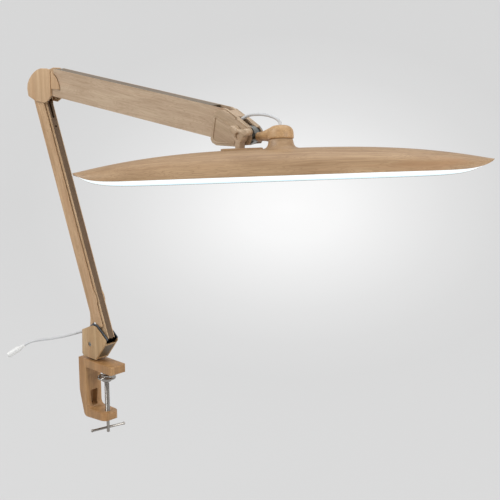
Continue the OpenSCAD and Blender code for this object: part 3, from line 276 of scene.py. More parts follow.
def board(name: str, outline: Sequence[Pair], low: float, high: float, plane: Plane = Plane.XZ) -> Piece:
    """A flat board cut to an outline and extruded across it.

    Args:
        name: The new piece's name.
        outline: Corners in the plane, in millimetres.
        low: Where the extrusion starts on the third axis.
        high: Where it ends.
        plane: The plane the outline is drawn in.

    Returns:
        The closed board.
    """
    flat = plane is Plane.XZ
    piece = draw_ring(name, [(a, low, b) if flat else (a, b, low) for a, b in outline], "NGON")
    way = (0, high - low, 0) if flat else (0, 0, high - low)
    with editing(piece):
        bpy.ops.mesh.extrude_region_move(TRANSFORM_OT_translate={"value": way})
    face_outwards(piece)
    return piece


def turned_piece(name: str, profile: Sequence[Pair], steps: int = 64, closed: bool = False) -> Piece:
    """A profile of radius and height, spun once about the Z axis.

    Args:
        name: The new piece's name.
        profile: Pairs of radius and height, in millimetres.
        steps: Faces round the piece.
        closed: True for a ring, whose profile is a loop off the axis.

    Returns:
        The turned piece.
    """
    piece = draw_ring(name, [(r, 0.0, z) for r, z in profile], "NOTHING")
    if not closed:
        open_ring(piece, {0, len(profile) - 1})
    with editing(piece):
        bpy.ops.mesh.spin(steps=steps, angle=math.tau, center=(0, 0, 0), axis=(0, 0, 1))
    face_outwards(piece)
    return piece


def bore(name: str, radius: float, low: float, high: float, steps: int = 32,
         place: Matrix | None = None) -> Piece:
    """A plain cylinder about the Z axis, to cut a round hole with.

    Args:
        name: The tool's name.
        radius: The hole's radius.
        low: Where it starts.
        high: Where it ends.
        steps: Faces round it.
        place: Where it goes from there, in millimetres.

    Returns:
        The tool.
    """
    tool = turned_piece(name, [(0, low), (radius, low), (radius, high), (0, high)], steps)
    if place is not None:
        tool.data.transform(place)
    return tool


def grid(name: str, across: int, over: int) -> Piece:
    """A flat grid from -1 to 1, to be drawn out to a skin.

    Args:
        name: The new piece's name.
        across: Its divisions along X.
        over: Its divisions along Y.

    Returns:
        The grid.
    """
    pick_only()
    bpy.ops.mesh.primitive_grid_add(x_subdivisions=across, y_subdivisions=over, size=2.0, location=(0, 0, 0))
    piece = bpy.context.object
    piece.name = piece.data.name = name
    return piece


def smooth_line(name: str, points: Sequence[Vector | Triple], radius: float, fineness: Pair,
                cyclic: bool = False, smooth: bool = True) -> Piece:
    """A round curve object along points, in the scene.

    Args:
        name: The new piece's name.
        points: Where its middle line goes.
        radius: Its radius.
        fineness: A quarter of the faces round it, and the steps between two points.
        cyclic: True if it closes on itself.
        smooth: True to curve through the points.

    Returns:
        The curve object.
    """
    curve = bpy.data.curves.new(name, "CURVE")
    curve.dimensions = "3D"
    curve.bevel_depth = radius
    curve.bevel_resolution, curve.resolution_u = fineness
    curve.use_fill_caps = not cyclic
    spline = curve.splines.new("BEZIER" if smooth else "POLY")
    knots = spline.bezier_points if smooth else spline.points
    knots.add(len(points) - 1)
    for knot, point in zip(knots, points):
        if smooth:
            knot.co = point
            knot.handle_left_type = knot.handle_right_type = "AUTO"
        else:
            knot.co = (*point, 1.0)
    spline.use_cyclic_u = cyclic
    piece = bpy.data.objects.new(name, curve)
    bpy.context.scene.collection.objects.link(piece)
    return piece


def bent_rod(name: str, points: Sequence[Triple], radius: float, around: int = 4, cyclic: bool = False,
             smooth: bool = True) -> Piece:
    """A round rod along points, made a mesh.

    Args:
        name: The new piece's name.
        points: Where its middle line goes, in millimetres.
        radius: The rod's radius.
        around: A quarter of the faces round the rod.
        cyclic: True if the rod closes on itself.
        smooth: True to curve through the points, False for points close enough to run straight between.

    Returns:
        The rod as a mesh object.
    """
    piece = smooth_line(name, points, radius, (around, 8), cyclic, smooth)
    pick_only(piece)
    bpy.ops.object.convert(target="MESH")
    piece = bpy.context.object
    face_outwards(piece)
    return piece


def finish_with(piece: Piece, kind: str, **settings: Any) -> None:
    """Adds a modifier, sets it and applies it.

    Args:
        piece: The mesh object.
        kind: The modifier's type.
        **settings: Its options.
    """
    step = piece.modifiers.new(kind.title(), kind)
    for option, value in settings.items():
        setattr(step, option, value)
    pick_only(piece)
    bpy.ops.object.modifier_apply(modifier=step.name)


def soften(piece: Piece, width: float, segments: int = 2, sharper_than: float = 32.0) -> None:
    """Rounds a piece's sharp edges.

    Args:
        piece: The mesh object, in millimetres.
        width: How wide the rounding is.
        segments: Faces across it.
        sharper_than: The least angle, in degrees, of an edge that is rounded.
    """
    finish_with(piece, "BEVEL", width=width, segments=segments, limit_method="ANGLE",
                angle_limit=math.radians(sharper_than), use_clamp_overlap=True)


def combine(piece: Piece, tool: Piece, how: str) -> None:
    """Cuts, joins or crosses a piece with a tool, and throws the tool away.

    Args:
        piece: The piece that stays.
        tool: The other solid.
        how: DIFFERENCE, UNION or INTERSECT.
    """
    finish_with(piece, "BOOLEAN", object=tool, operation=how, solver="EXACT")
    bpy.data.objects.remove(tool, do_unlink=True)


def cut(piece: Piece, *tools: Piece) -> None:
    """Cuts a piece with tools, one after another, and throws them away."""
    for tool in tools:
        combine(piece, tool, "DIFFERENCE")


def join(piece: Piece, *others: Piece) -> Piece:
    """Makes several meshes one object, which keeps the first one's name."""
    pick_only(piece)
    for other in others:
        other.select_set(True)
    bpy.ops.object.join()
    return piece


def settle(piece: Piece, place: Matrix = Matrix.Identity(4), angle: float = 34.0) -> Piece:
    """Puts a piece's mesh in its place, in metres, and smooths what isn't an edge.

    Args:
        piece: The mesh object, in millimetres and at the origin.
        place: The sub-assembly's place in the row frame.
        angle: The least angle, in degrees, that still shows as an edge.

    Returns:
        The same object, at the origin with its place in its mesh.
    """
    piece.data.transform(place @ Matrix.Scale(MM, 4))
    pick_only(piece)
    bpy.ops.object.shade_smooth_by_angle(angle=math.radians(angle))
    return piece


# Finishes


def linear(code: str, alpha: float = 1.0) -> tuple[float, float, float, float]:
    """Turns an sRGB hex colour to the linear values that a socket takes.

    Args:
        code: Six hex digits after a hash.
        alpha: The fourth value.

    Returns:
        Linear red, green, blue and alpha.
    """
    shares = (int(code[i : i + 2], 16) / 255 for i in (1, 3, 5))
    red, green, blue = (s / 12.92 if s <= 0.04045 else ((s + 0.055) / 1.055) ** 2.4 for s in shares)
    return (red, green, blue, alpha)


class Tree:
    """A material and its nodes, with short ways to add what the finishes share."""

    def __init__(self, name: str) -> None:
        """Makes the material with its main shader alone.

        Args:
            name: The material's name.
        """
        self.material = bpy.data.materials.new(name)
        self.material.use_nodes = True
        self.nodes, self.links = self.material.node_tree.nodes, self.material.node_tree.links
        self.shader = self.nodes["Principled BSDF"]

    def fill(self, made: bpy.types.Node, inputs: Inputs) -> None:
        """Fills a node's inputs with values, or links sockets to them."""
        for key, value in inputs.items():
            if isinstance(value, Socket):
                self.links.new(value, made.inputs[key])
            else:
                made.inputs[key].default_value = linear(value) if isinstance(value, str) else value

    def add(self, kind: str, inputs: Inputs | None = None, out: int | str = 0, stops: Sequence[tuple[float, str]] = (),
            **options: Any) -> Socket:
        """Adds a node and fills it.

        Args:
            kind: The node's type, without the words that all of them start with.
            inputs: Values, hex colours or sockets, by the input's name or number.
            out: The output that is wanted.
            stops: Places and hex colours, for a ramp.
            **options: The node's own settings.

        Returns:
            The output's socket.
        """
        made = self.nodes.new("ShaderNode" + kind)
        for option, value in options.items():
            setattr(made, option, value)
        self.fill(made, inputs or {})
        for index, (spot, code) in enumerate(stops):
            steps = made.color_ramp.elements
            stop = steps[index] if index < 2 else steps.new(spot)
            stop.position, stop.color = spot, linear(code)
        return made.outputs[out]

    def local(self, spot: Vector | Triple, turn: Any, scale: float) -> Socket:
        """Coordinates about a place, in units of the scale."""
        return self.add("Mapping", {0: self.add("TexCoord", out="Object"), "Location": spot, "Rotation": turn,
                        "Scale": (scale, scale, scale)}, vector_type="TEXTURE")

    def piece_frame(self, place: Matrix) -> Socket:
        """Millimetres in a piece's own frame."""
        spot, turn, _ = place.decompose()
        return self.local(spot, turn.to_euler(), MM)

    def noise(self, scale: float, **settings: float) -> Socket:
        """Cloudy noise on the object's coordinates."""
        return self.add("TexNoise", {0: self.add("TexCoord", out="Object"), "Scale": scale, **settings})

    def grain(self, at: Socket, stretch: Triple, offset: Triple = (0, 0, 0),
              **settings: float) -> Socket:
        """Noise drawn out along the grain.

        Args:
            at: The coordinates.
            stretch: Its waves per millimetre along each axis.
            offset: How far it is moved.
            **settings: The noise's own inputs.

        Returns:
            The noise's value.
        """
        drawn = self.add("Mapping", {0: at, "Location": offset, "Scale": stretch})
        return self.add("TexNoise", {0: drawn, "Scale": 1.0, **settings})

    def spread(self, value: Socket, low: float, high: float, start: float = 0.0,
               stop: float = 1.0) -> Socket:
        """Moves values between start and stop to between low and high."""
        return self.add("MapRange", {"Value": value, "From Min": start, "From Max": stop, "To Min": low,
                        "To Max": high})

    def maths(self, how: str, *values: Any) -> Socket:
        """Works out one sum."""
        return self.add("Math", dict(enumerate(values)), operation=how)

    def tint(self, share: Any, first: Any, second: Any, how: str = "MIX") -> Socket:
        """Mixes two colours."""
        return self.add("Mix", {"Factor": share, 6: first, 7: second}, 2, data_type="RGBA", blend_type=how)

    def relief(self, height: Socket, strength: float, depth: float) -> Socket:
        """Raises the surface by a fine relief."""
        return self.add("Bump", {"Height": height, "Strength": strength, "Distance": depth})

    def surface(self, inputs: Inputs) -> Material:
        """Fills the main shader and hands the material over."""
        self.fill(self.shader, inputs)
        return self.material


@dataclass(frozen=True)
class PrintedWood:
    """Light oak drawn on by water transfer, under a satin lacquer: soft rings, long fibres and a few red streaks."""

    name: str
    place: Matrix
    pale: str
    middle: str
    deep: str
    red: str = "#b27f55"
    along: float = 1.0
    # Half the gap between a channel's sides, where painted shade darkens the print
    inside: float = 0.0
    # How dark the late wood's lines are, and the share of a ring that they take
    lines: float = 0.7
    line_share: float = 0.34
    rings: float = 16.0
    # The painted shade's colour, multiplied into the print between a channel's sides
    shadow: str = "#8b8175"

    def make(self) -> Material:
        """Builds the material with its grain along the place's X axis."""
        tree = Tree("oak_print_" + self.name)
        local = tree.piece_frame(self.place)
        # Growth rings: bands 7 mm apart across the grain, drawn out fourteen times along it
        rings = tree.grain(local, (0.0105 / self.along, 0.15, 0.11), Detail=2.0, Roughness=0.45, Distortion=0.9)
        # Fibres 1.2 mm wide, coarser than real pores so that they show
        fibres = tree.grain(local, (0.02, 0.85, 0.85), Detail=3.0, Roughness=0.6)
        # Pores 0.3 mm wide, for close views and the lacquer's relief
        pores = tree.grain(local, (0.12, 3.3, 3.3), Detail=1.0)
        # Red heartwood streaks 20 mm wide and a hand long
        streaks = tree.grain(local, (0.006, 0.05, 0.06), (0.7, 2.3, 1.1), Detail=2.0, Distortion=0.6)
        mixed = tree.add("Mix", {"Factor": 0.42, 2: rings, 3: fibres})
        tone = tree.add("Mix", {"Factor": 0.14, 2: mixed, 3: pores})
        figure = tree.add("ValToRGB", {0: tone}, stops=[(0.34, self.deep), (0.64, self.pale), (0.5, self.middle)])
        # Late wood: thin dark lines where the rings' bands turn over, drawn about 2 mm wide so that they show
        turns = tree.maths("FRACT", tree.maths("MULTIPLY", rings, self.rings))
        lined = tree.tint(tree.spread(turns, self.lines, 0.0, 0.0, self.line_share), figure, self.deep)
        colour = tree.tint(tree.spread(streaks, 0.0, 0.5, 0.52, 0.72), lined, self.red)
        if self.inside:
            # Painted shade: between a channel's two sides the print is darkened, as shade falls inside the channel
            off = tree.maths("ABSOLUTE", tree.add("SeparateXYZ", {0: local}, 1))
            colour = tree.tint(tree.maths("LESS_THAN", off, self.inside), colour, self.shadow, "MULTIPLY")
        return tree.surface({"Base Color": colour, "Roughness": tree.spread(pores, 0.44, 0.56),
                             "Normal": tree.relief(pores, 0.12, 0.0002), "IOR": 1.5, "Coat Weight": 0.12,
                             "Coat Roughness": 0.3})


@dataclass(frozen=True)
class Metal:
    """A bare or plated metal, with polishing marks or plating cloud in its roughness."""

    name: str
    colour: str
    roughness: float
    marks: float = 0.06
    scale: float = 900.0

    def make(self) -> Material:
        """Builds the metal."""
        tree = Tree(self.name)
        marks = tree.noise(self.scale, Detail=2.0)
        return tree.surface({"Base Color": self.colour, "Metallic": 1.0, "Normal": tree.relief(marks, 0.05, 0.0001),
                             "Roughness": tree.spread(marks, self.roughness, self.roughness + self.marks)})


@dataclass(frozen=True)
class Moulded:
    """A moulded plastic or coated board: one colour with a slight cloud, and a fine spark-eroded texture."""

    name: str
    colour: str
    roughness: float
    cloud: float = 0.06
    ior: float = 1.5
    # Waves per metre of the texture
    grit: float = 2500.0

    def make(self) -> Material:
        """Builds the plastic."""
        tree = Tree(self.name)
        shade = tree.spread(tree.noise(60.0, Detail=2.0), 1.0 - self.cloud, 1.0 + self.cloud)
        tint = tree.add("VectorMath", {0: linear(self.colour)[:3], "Scale": shade}, operation="SCALE")
        return tree.surface({"Base Color": tint, "Normal": tree.relief(tree.noise(self.grit), 0.1, 0.0001),
                             "Roughness": self.roughness, "IOR": self.ior})


@dataclass(frozen=True)
class LitOpal:
    """Opal acrylic with the diodes on behind it: white, turning a little bluer towards its far edge."""

    name: str
    place: Matrix
    colour: str
    edge: str
    glow: float

    def make(self) -> Material:
        """Builds the lit sheet."""
        tree = Tree(self.name)
        across = tree.add("SeparateXYZ", {0: tree.piece_frame(self.place)}, 1)
        # The diodes' rows end 9 mm off the middle, and the sheet is bluer towards its far edge
        tint = tree.tint(tree.spread(across, 0.0, 1.0, 8.0, 42.0), self.colour, self.edge)
        return tree.surface({"Base Color": "#8d9698", "Roughness": 0.35, "Emission Color": tint,
                             "Emission Strength": tree.spread(tree.noise(12.0), self.glow * 0.97, self.glow * 1.03)})


class Finishes:
    """Every finish on the lamp, each made once."""

    def __init__(self, places: Layout) -> None:
        """Makes the materials.

        Args:
            places: Where the sub-assemblies are, so that each piece's grain runs along it.
        """
        upright = places.turned(-90, "Y")
        # Each piece has its own copy of the one print, its tones set lighter or darker to match how that piece is lit:
        # partly the print's own spread of tone, partly painted light and shade
        self.clamp = PrintedWood("clamp", places.moved(0, 4, 6) @ upright, "#bb9161", "#a97f52", "#8e683f",
                                 "#af7b48").make()
        self.bracket = PrintedWood("bracket", places.in_bracket @ upright, "#c6a77d", "#b8956b", "#9e7b51").make()
        # The same print, darker where it lies sunk in the bracket's front
        self.panel = PrintedWood("panel", places.in_bracket @ upright, "#75634a", "#655540", "#524431",
                                 "#68503a").make()
        self.lower = PrintedWood("lower_arm", places.in_lower @ upright, "#ceac84", "#c09c76", "#a6825b",
                                 "#ba8960").make()
        # The lower arm's print for the inner channel, with painted shade between its sides
        self.lower_web_painted_shade = PrintedWood("lower_web_painted_shade", places.in_lower @ upright, "#cfb18e", "#c3a37e", "#a68662",
                                     inside=5.0).make()
        self.elbow = PrintedWood("elbow", places.in_elbow @ upright, "#d3b38c", "#c9a67f", "#b4906a",
                                 "#c0966c").make()
        self.upper = PrintedWood("upper_arm", places.in_upper, "#cab396", "#bda388", "#a68b6d", "#b98f70").make()
        # The upper arm's print made much darker for the inner channel: painted shade
        self.upper_web_painted_shade = PrintedWood("upper_web_painted_shade", places.in_upper, "#85735d", "#74644f", "#61523f", "#75604a").make()
        self.wrist = PrintedWood("wrist", places.in_wrist @ places.turned(20, "Y"), "#c7af93", "#baa184", "#a48b6e",
                                 "#b6967b").make()
        # The neck's copy is lighter than the rest's: painted highlight, for the light that the round bulb catches
        self.neck = PrintedWood("neck", places.in_neck, "#cfab7c", "#bf986b", "#a17c52").make()
        self.head = PrintedWood("head", places.in_head, "#b99975", "#ab8b68", "#90704e", "#a97f58", along=1.6).make()
        # Bright chromium on the clamp's steel: near mirror, its colour tinted warm as a painted reflection of the room
        # round it
        self.chrome = Metal("chromium_plated_steel", "#a09b95", 0.12).make()
        # Zinc-plated sheet and turned steel: grey, softly reflecting
        self.steel = Metal("zinc_plated_steel", "#8c8c88", 0.3, marks=0.12).make()
        # Liner sheet, blued and oiled
        self.dark_steel = Metal("blued_sheet_steel", "#5d646d", 0.26, marks=0.1).make()
        # Drawn spring wire, bright
        self.wire = Metal("bright_spring_wire", "#b9bdc1", 0.22).make()
        # Moulded nylon of the bush, and cases of the electric parts
        self.black = Moulded("black_nylon", "#25272a", 0.5).make()
        # Soft PVC of the cables: white, slightly glossy
        self.cable = Moulded("white_pvc", "#cdcecf", 0.42, cloud=0.03).make()
        # Rigid white ABS of the connector
        self.white = Moulded("white_abs", "#e8e8e6", 0.36, cloud=0.03).make()
        # Pressed and painted tray
        self.tray = Moulded("white_painted_tray", "#e4e6e6", 0.4, cloud=0.03).make()
        # Solder mask on the boards
        self.green = Moulded("green_solder_mask", "#2f6b46", 0.3, ior=1.55).make()
        self.mask = Moulded("white_solder_mask", "#dfe6e2", 0.35, ior=1.55).make()
        # Phosphor over the diodes
        self.phosphor = Moulded("yellow_phosphor", "#f1e7a8", 0.5).make()
        self.opal = LitOpal("lit_opal_acrylic", places.in_shade, "#f4fbfd", "#b4e0f2", 0.84).make()


# Handing pieces over


def hand_over(piece: Piece, finish: Material, body: str, slot: str, *nodes: str) -> None:
    """Dresses a finished piece, lets it ride on its body and stands it in for its solids.

    Args:
        piece: The finished mesh, at the origin.
        finish: Its material.
        body: The body that carries it.
        slot: The record's material slot; not used.
        *nodes: The solids that it stands for.
    """
    piece.data.materials.clear()
    piece.data.materials.append(finish)
    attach(piece, body)
    if nodes:
        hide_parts(*nodes)
    LOG.info("%s: %d faces on %s for %s", piece.name, len(piece.data.polygons), body, ", ".join(nodes) or "nothing")


def dress(finish: Material, *nodes: str) -> None:
    """Gives solids that stay as they are their material.

    Args:
        finish: The material.
        *nodes: The solids' names.
    """
    for name in nodes:
        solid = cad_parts[name]
        if solid.material_slots:
            for spot in solid.material_slots:
                spot.material = finish
        else:
            solid.data.materials.append(finish)
        LOG.info("%s: dressed in %s", name, finish.name)


# Sub-assemblies


@dataclass
class Studio:
    """Camera, soft lamps, and a pale floor that sweeps up into a wall all round."""

    focal: float = 79.2
    sensor: float = 36.0
    stand: Triple = (1.3121, -1.0494, 0.5948)
    pitch: float = 76.54
    heading: float = 43.5
    floor: float = -0.3
    radius: float = 3.0
    sweep: float = 0.9
    wall: float = 1.9
    glow_at: Pair = (290.0, 207.0)
    glow_size: Pair = (265.0, 172.0)
    pixels: float = 500.0
    # How bright the painted glow is, and the share of it against the matt paint
    shine: float = 1.055
    shine_share: float = 0.88
    room: float = 0.62
    aim: Triple = (0.15, 0.0, 0.25)
    # Each card's name, place and width; each lamp's name, place, power in watts and width
    cards: tuple[tuple[str, Pair, float], ...] = (("card_left", (-0.15, -1.6), 0.8), ("card_right", (1.5, 0.45), 0.7))
    lamps: tuple[tuple[str, Triple, float, float], ...] = (
        ("key_box", (-0.9, -2.1, 1.9), 42.0, 1.6), ("fill_box", (2.6, 0.1, 0.6), 26.0, 1.2),
        ("top_box", (0.3, 0.6, 2.4), 16.0, 1.8),
    )

    def set_camera(self) -> Piece:
        """Makes the camera at the photograph's viewing angle."""
        data = bpy.data.cameras.new("camera")
        data.lens, data.sensor_width = self.focal, self.sensor
        data.clip_end = 50.0
        camera = bpy.data.objects.new("camera", data)
        camera.location = self.stand
        camera.rotation_euler = (math.radians(self.pitch), 0.0, math.radians(self.heading))
        bpy.context.scene.collection.objects.link(camera)
        bpy.context.scene.camera = camera
        bpy.context.scene.view_settings.view_transform = "Standard"
        LOG.info("camera at %s", self.stand)
        return camera

    def paint_sweep(self) -> Material:
        """The cove's paint: pale grey, with an oval pool of light painted in behind the lamp, as on a lit studio wall.
        """
        tree = Tree("pale_studio_paint")
        look = Matrix.Rotation(math.radians(self.heading), 4, "Z") @ Matrix.Rotation(math.radians(self.pitch), 4, "X")
        centre = self.pixels / 2
        scale = self.focal / self.sensor * self.pixels
        sideways = (self.glow_at[0] - centre) / scale
        upwards = (centre - self.glow_at[1]) / scale
        way = (look @ Vector((sideways, upwards, -1.0))).normalized()
        cone = tree.local(self.stand, way.to_track_quat("Z", "Y").to_euler(), 1.0)
        across, over, along = (tree.add("SeparateXYZ", {0: cone}, i) for i in range(3))
        # The painted glow is an oval about the line of sight
        wide = tree.maths("MULTIPLY", tree.maths("DIVIDE", across, along), scale / self.glow_size[0])
        high = tree.maths("MULTIPLY", tree.maths("DIVIDE", over, along), scale / self.glow_size[1])
        length = tree.add("VectorMath", {0: tree.add("CombineXYZ", {0: wide, 1: high})}, "Value", operation="LENGTH")
        shades = tree.add("ValToRGB", {0: length}, stops=[(0.0, "#ffffff"), (1.0, "#d7d7d7"), (0.2, "#fafafa"),
                                                          (0.4, "#eeeeee"), (0.6, "#e3e3e3"), (0.8, "#dbdbdb")])
        camera, mirror, through = (tree.add("LightPath", out=f"Is {ray} Ray")
                                   for ray in ("Camera", "Glossy", "Transmission"))
        seen = tree.maths("MAXIMUM", tree.maths("MAXIMUM", camera, mirror), through)
        shine = tree.add("Emission", {"Color": shades, "Strength": self.shine})
        matt = tree.add("BsdfDiffuse", {"Color": "#cfcfcf"})
        mix = tree.add("MixShader", {0: tree.maths("MULTIPLY", seen, self.shine_share), 1: matt, 2: shine})
        tree.fill(tree.nodes["Material Output"], {"Surface": mix})
        tree.nodes.remove(tree.shader)
        return tree.material

    def stand_cards(self) -> None:
        """Stands two dark cards beside the camera, which draw the dark streaks in the chrome."""
        material = Tree("black_card").surface({"Base Color": "#1d1c1b", "Roughness": 0.9})
        for name, spot, width in self.cards:
            pick_only()
            bpy.ops.mesh.primitive_plane_add(size=1.0, location=(0, 0, 0))
            card = bpy.context.object
            card.name = card.data.name = name
            turn = math.atan2(spot[1], spot[0]) + math.pi / 2
            card.data.transform(Matrix.Translation((*spot, 0.1)) @ Matrix.Rotation(turn, 4, "Z")
                                @ Matrix.Rotation(math.pi / 2, 4, "X") @ Matrix.Diagonal((width, 0.75, 1, 1)))
            card.data.materials.append(material)
            card.visible_camera = card.visible_shadow = False

    def build_sweep(self) -> Piece:
        """Spins the floor's and wall's profile into one cove round the lamp."""
        bend = arc(self.radius, self.floor + self.sweep, self.sweep, -90, 0, 12)
        profile = [(0.0, self.floor), *bend, (self.radius + self.sweep, self.wall)]
        cove = turned_piece("studio_cove", [(r / MM, z / MM) for r, z in profile], steps=96)
        settle(cove, angle=60)
        cove.data.materials.append(self.paint_sweep())
        return cove

    def set_lamps(self) -> None:
        """Hangs the soft boxes and the even light of the room."""
        world = bpy.data.worlds.new("room")
        bpy.context.scene.world = world
        world.use_nodes = True
        background = world.node_tree.nodes["Background"]
        background.inputs["Color"].default_value = linear("#f4f6f8")
        background.inputs["Strength"].default_value = self.room
        for name, spot, power, width in self.lamps:
            data = bpy.data.lights.new(name, "AREA")
            data.energy, data.size = power, width
            lamp = bpy.data.objects.new(name, data)
            lamp.location = spot
            lamp.rotation_euler = (Vector(self.aim) - Vector(spot)).to_track_quat("-Z", "Y").to_euler()
            bpy.context.scene.collection.objects.link(lamp)


@dataclass
class Cables:
    """The supply lead with its connector, and the cable that feeds the head."""

    lead_radius: float = 2.2
    lead: tuple[Triple, ...] = (
        (-41, 0, 54), (-47.6, 0, 54), (-52, -1, 53.4), (-58, -5, 51.4), (-68, -14, 47.4), (-78, -25, 44),
        (-87, -36, 42), (-93, -45, 41), (-101, -55, 40), (-108, -64, 38), (-113, -70, 35), (-116, -74, 32),
    )
    feed_radius: float = 2.1
    feed: tuple[Triple, ...] = (
        (15, 0, 17.6), (20, 0, 22.6), (27, 0, 26.6), (36, 0, 29.6), (46, 0, 31.2), (56.6, 0, 32), (66.9, 0.4, 31.6),
        (76, 1.2, 29.8), (82.3, 2, 27.2), (85.8, 2.4, 24.1), (87.1, 1.7, 20.4), (87.8, 1.1, 17.3),
    )
    connector_radius: float = 4.8
    connector_length: float = 30.0

    def run_lead(self, finishes: Finishes) -> None:
        piece = smooth_line("supply_lead_pvc", [Vector(point) * MM for point in self.lead], self.lead_radius * MM,
                            (5, 10))
        connector = self.mould_connector()
        hand_over(connector, finishes.white, "turret", "white_plastic", "lead_connector")
        piece.data.materials.append(finishes.cable)
        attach(piece, "turret")
        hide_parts("supply_lead")

    def mould_connector(self) -> Piece:
        """Turns the connector: a ribbed strain relief, a shoulder, and a round body with its socket."""
        r, length = self.connector_radius, self.connector_length
        neck = self.lead_radius
        profile = [(0.0, 0.0), (neck + 0.3, 0.0), (neck + 0.5, 0.8)]
        for i in range(4):
            z = 1.4 + 1.6 * i
            swell = neck + 0.5 + 0.1 * i
            profile += [(swell, z), (swell + 0.35, z + 0.3), (swell + 0.35, z + 0.9), (swell, z + 1.2)]
        profile += [(r * 0.7, 8.2), (r * 0.82, 8.5), (r * 0.95, 9.2), (r, 10.2), (r, length - 0.8),
                    (r - 0.7, length), (2.8, length), (2.8, length - 10), (0.0, length - 10)]
        piece = turned_piece("lead_connector_shell", profile, steps=40)
        last, before = Vector(self.lead[-1]), Vector(self.lead[-2])
        way = (last - before).normalized()
        turn = Vector((0, 0, 1)).rotation_difference(way).to_matrix().to_4x4()
        return settle(piece, Matrix.Translation(last * MM) @ turn)

    def run_feed(self, finishes: Finishes) -> None:
        """Makes the head's cable in two lengths that meet over the tilt axis, one for each joint."""
        split = 6
        route = [tuple(Vector(point) + Vector(PLACES.wrist)) for point in self.feed]
        for name, points, bodies in (
            ("feed_cable_rear", route[: split + 1], ("wrist", "tilt_eye")),
            ("feed_cable_front", route[split:], ("tilt_eye", "neck")),
        ):
            piece = bent_rod(name, points, self.feed_radius, around=5)
            settle(piece)
            piece.data.materials.append(finishes.cable)
            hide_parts("head_cable")
            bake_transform(piece)
            LOG.info("%s bends between %s and %s", name, *bodies)

    def build(self, finishes: Finishes) -> None:
        """Makes both cables."""
        self.run_lead(finishes)
        self.run_feed(finishes)
        dress(finishes.cable, "lower_arm_cable", "upper_arm_cable")
        dress(finishes.steel, "socket_pin")
        dress(finishes.black, "lead_grommet")


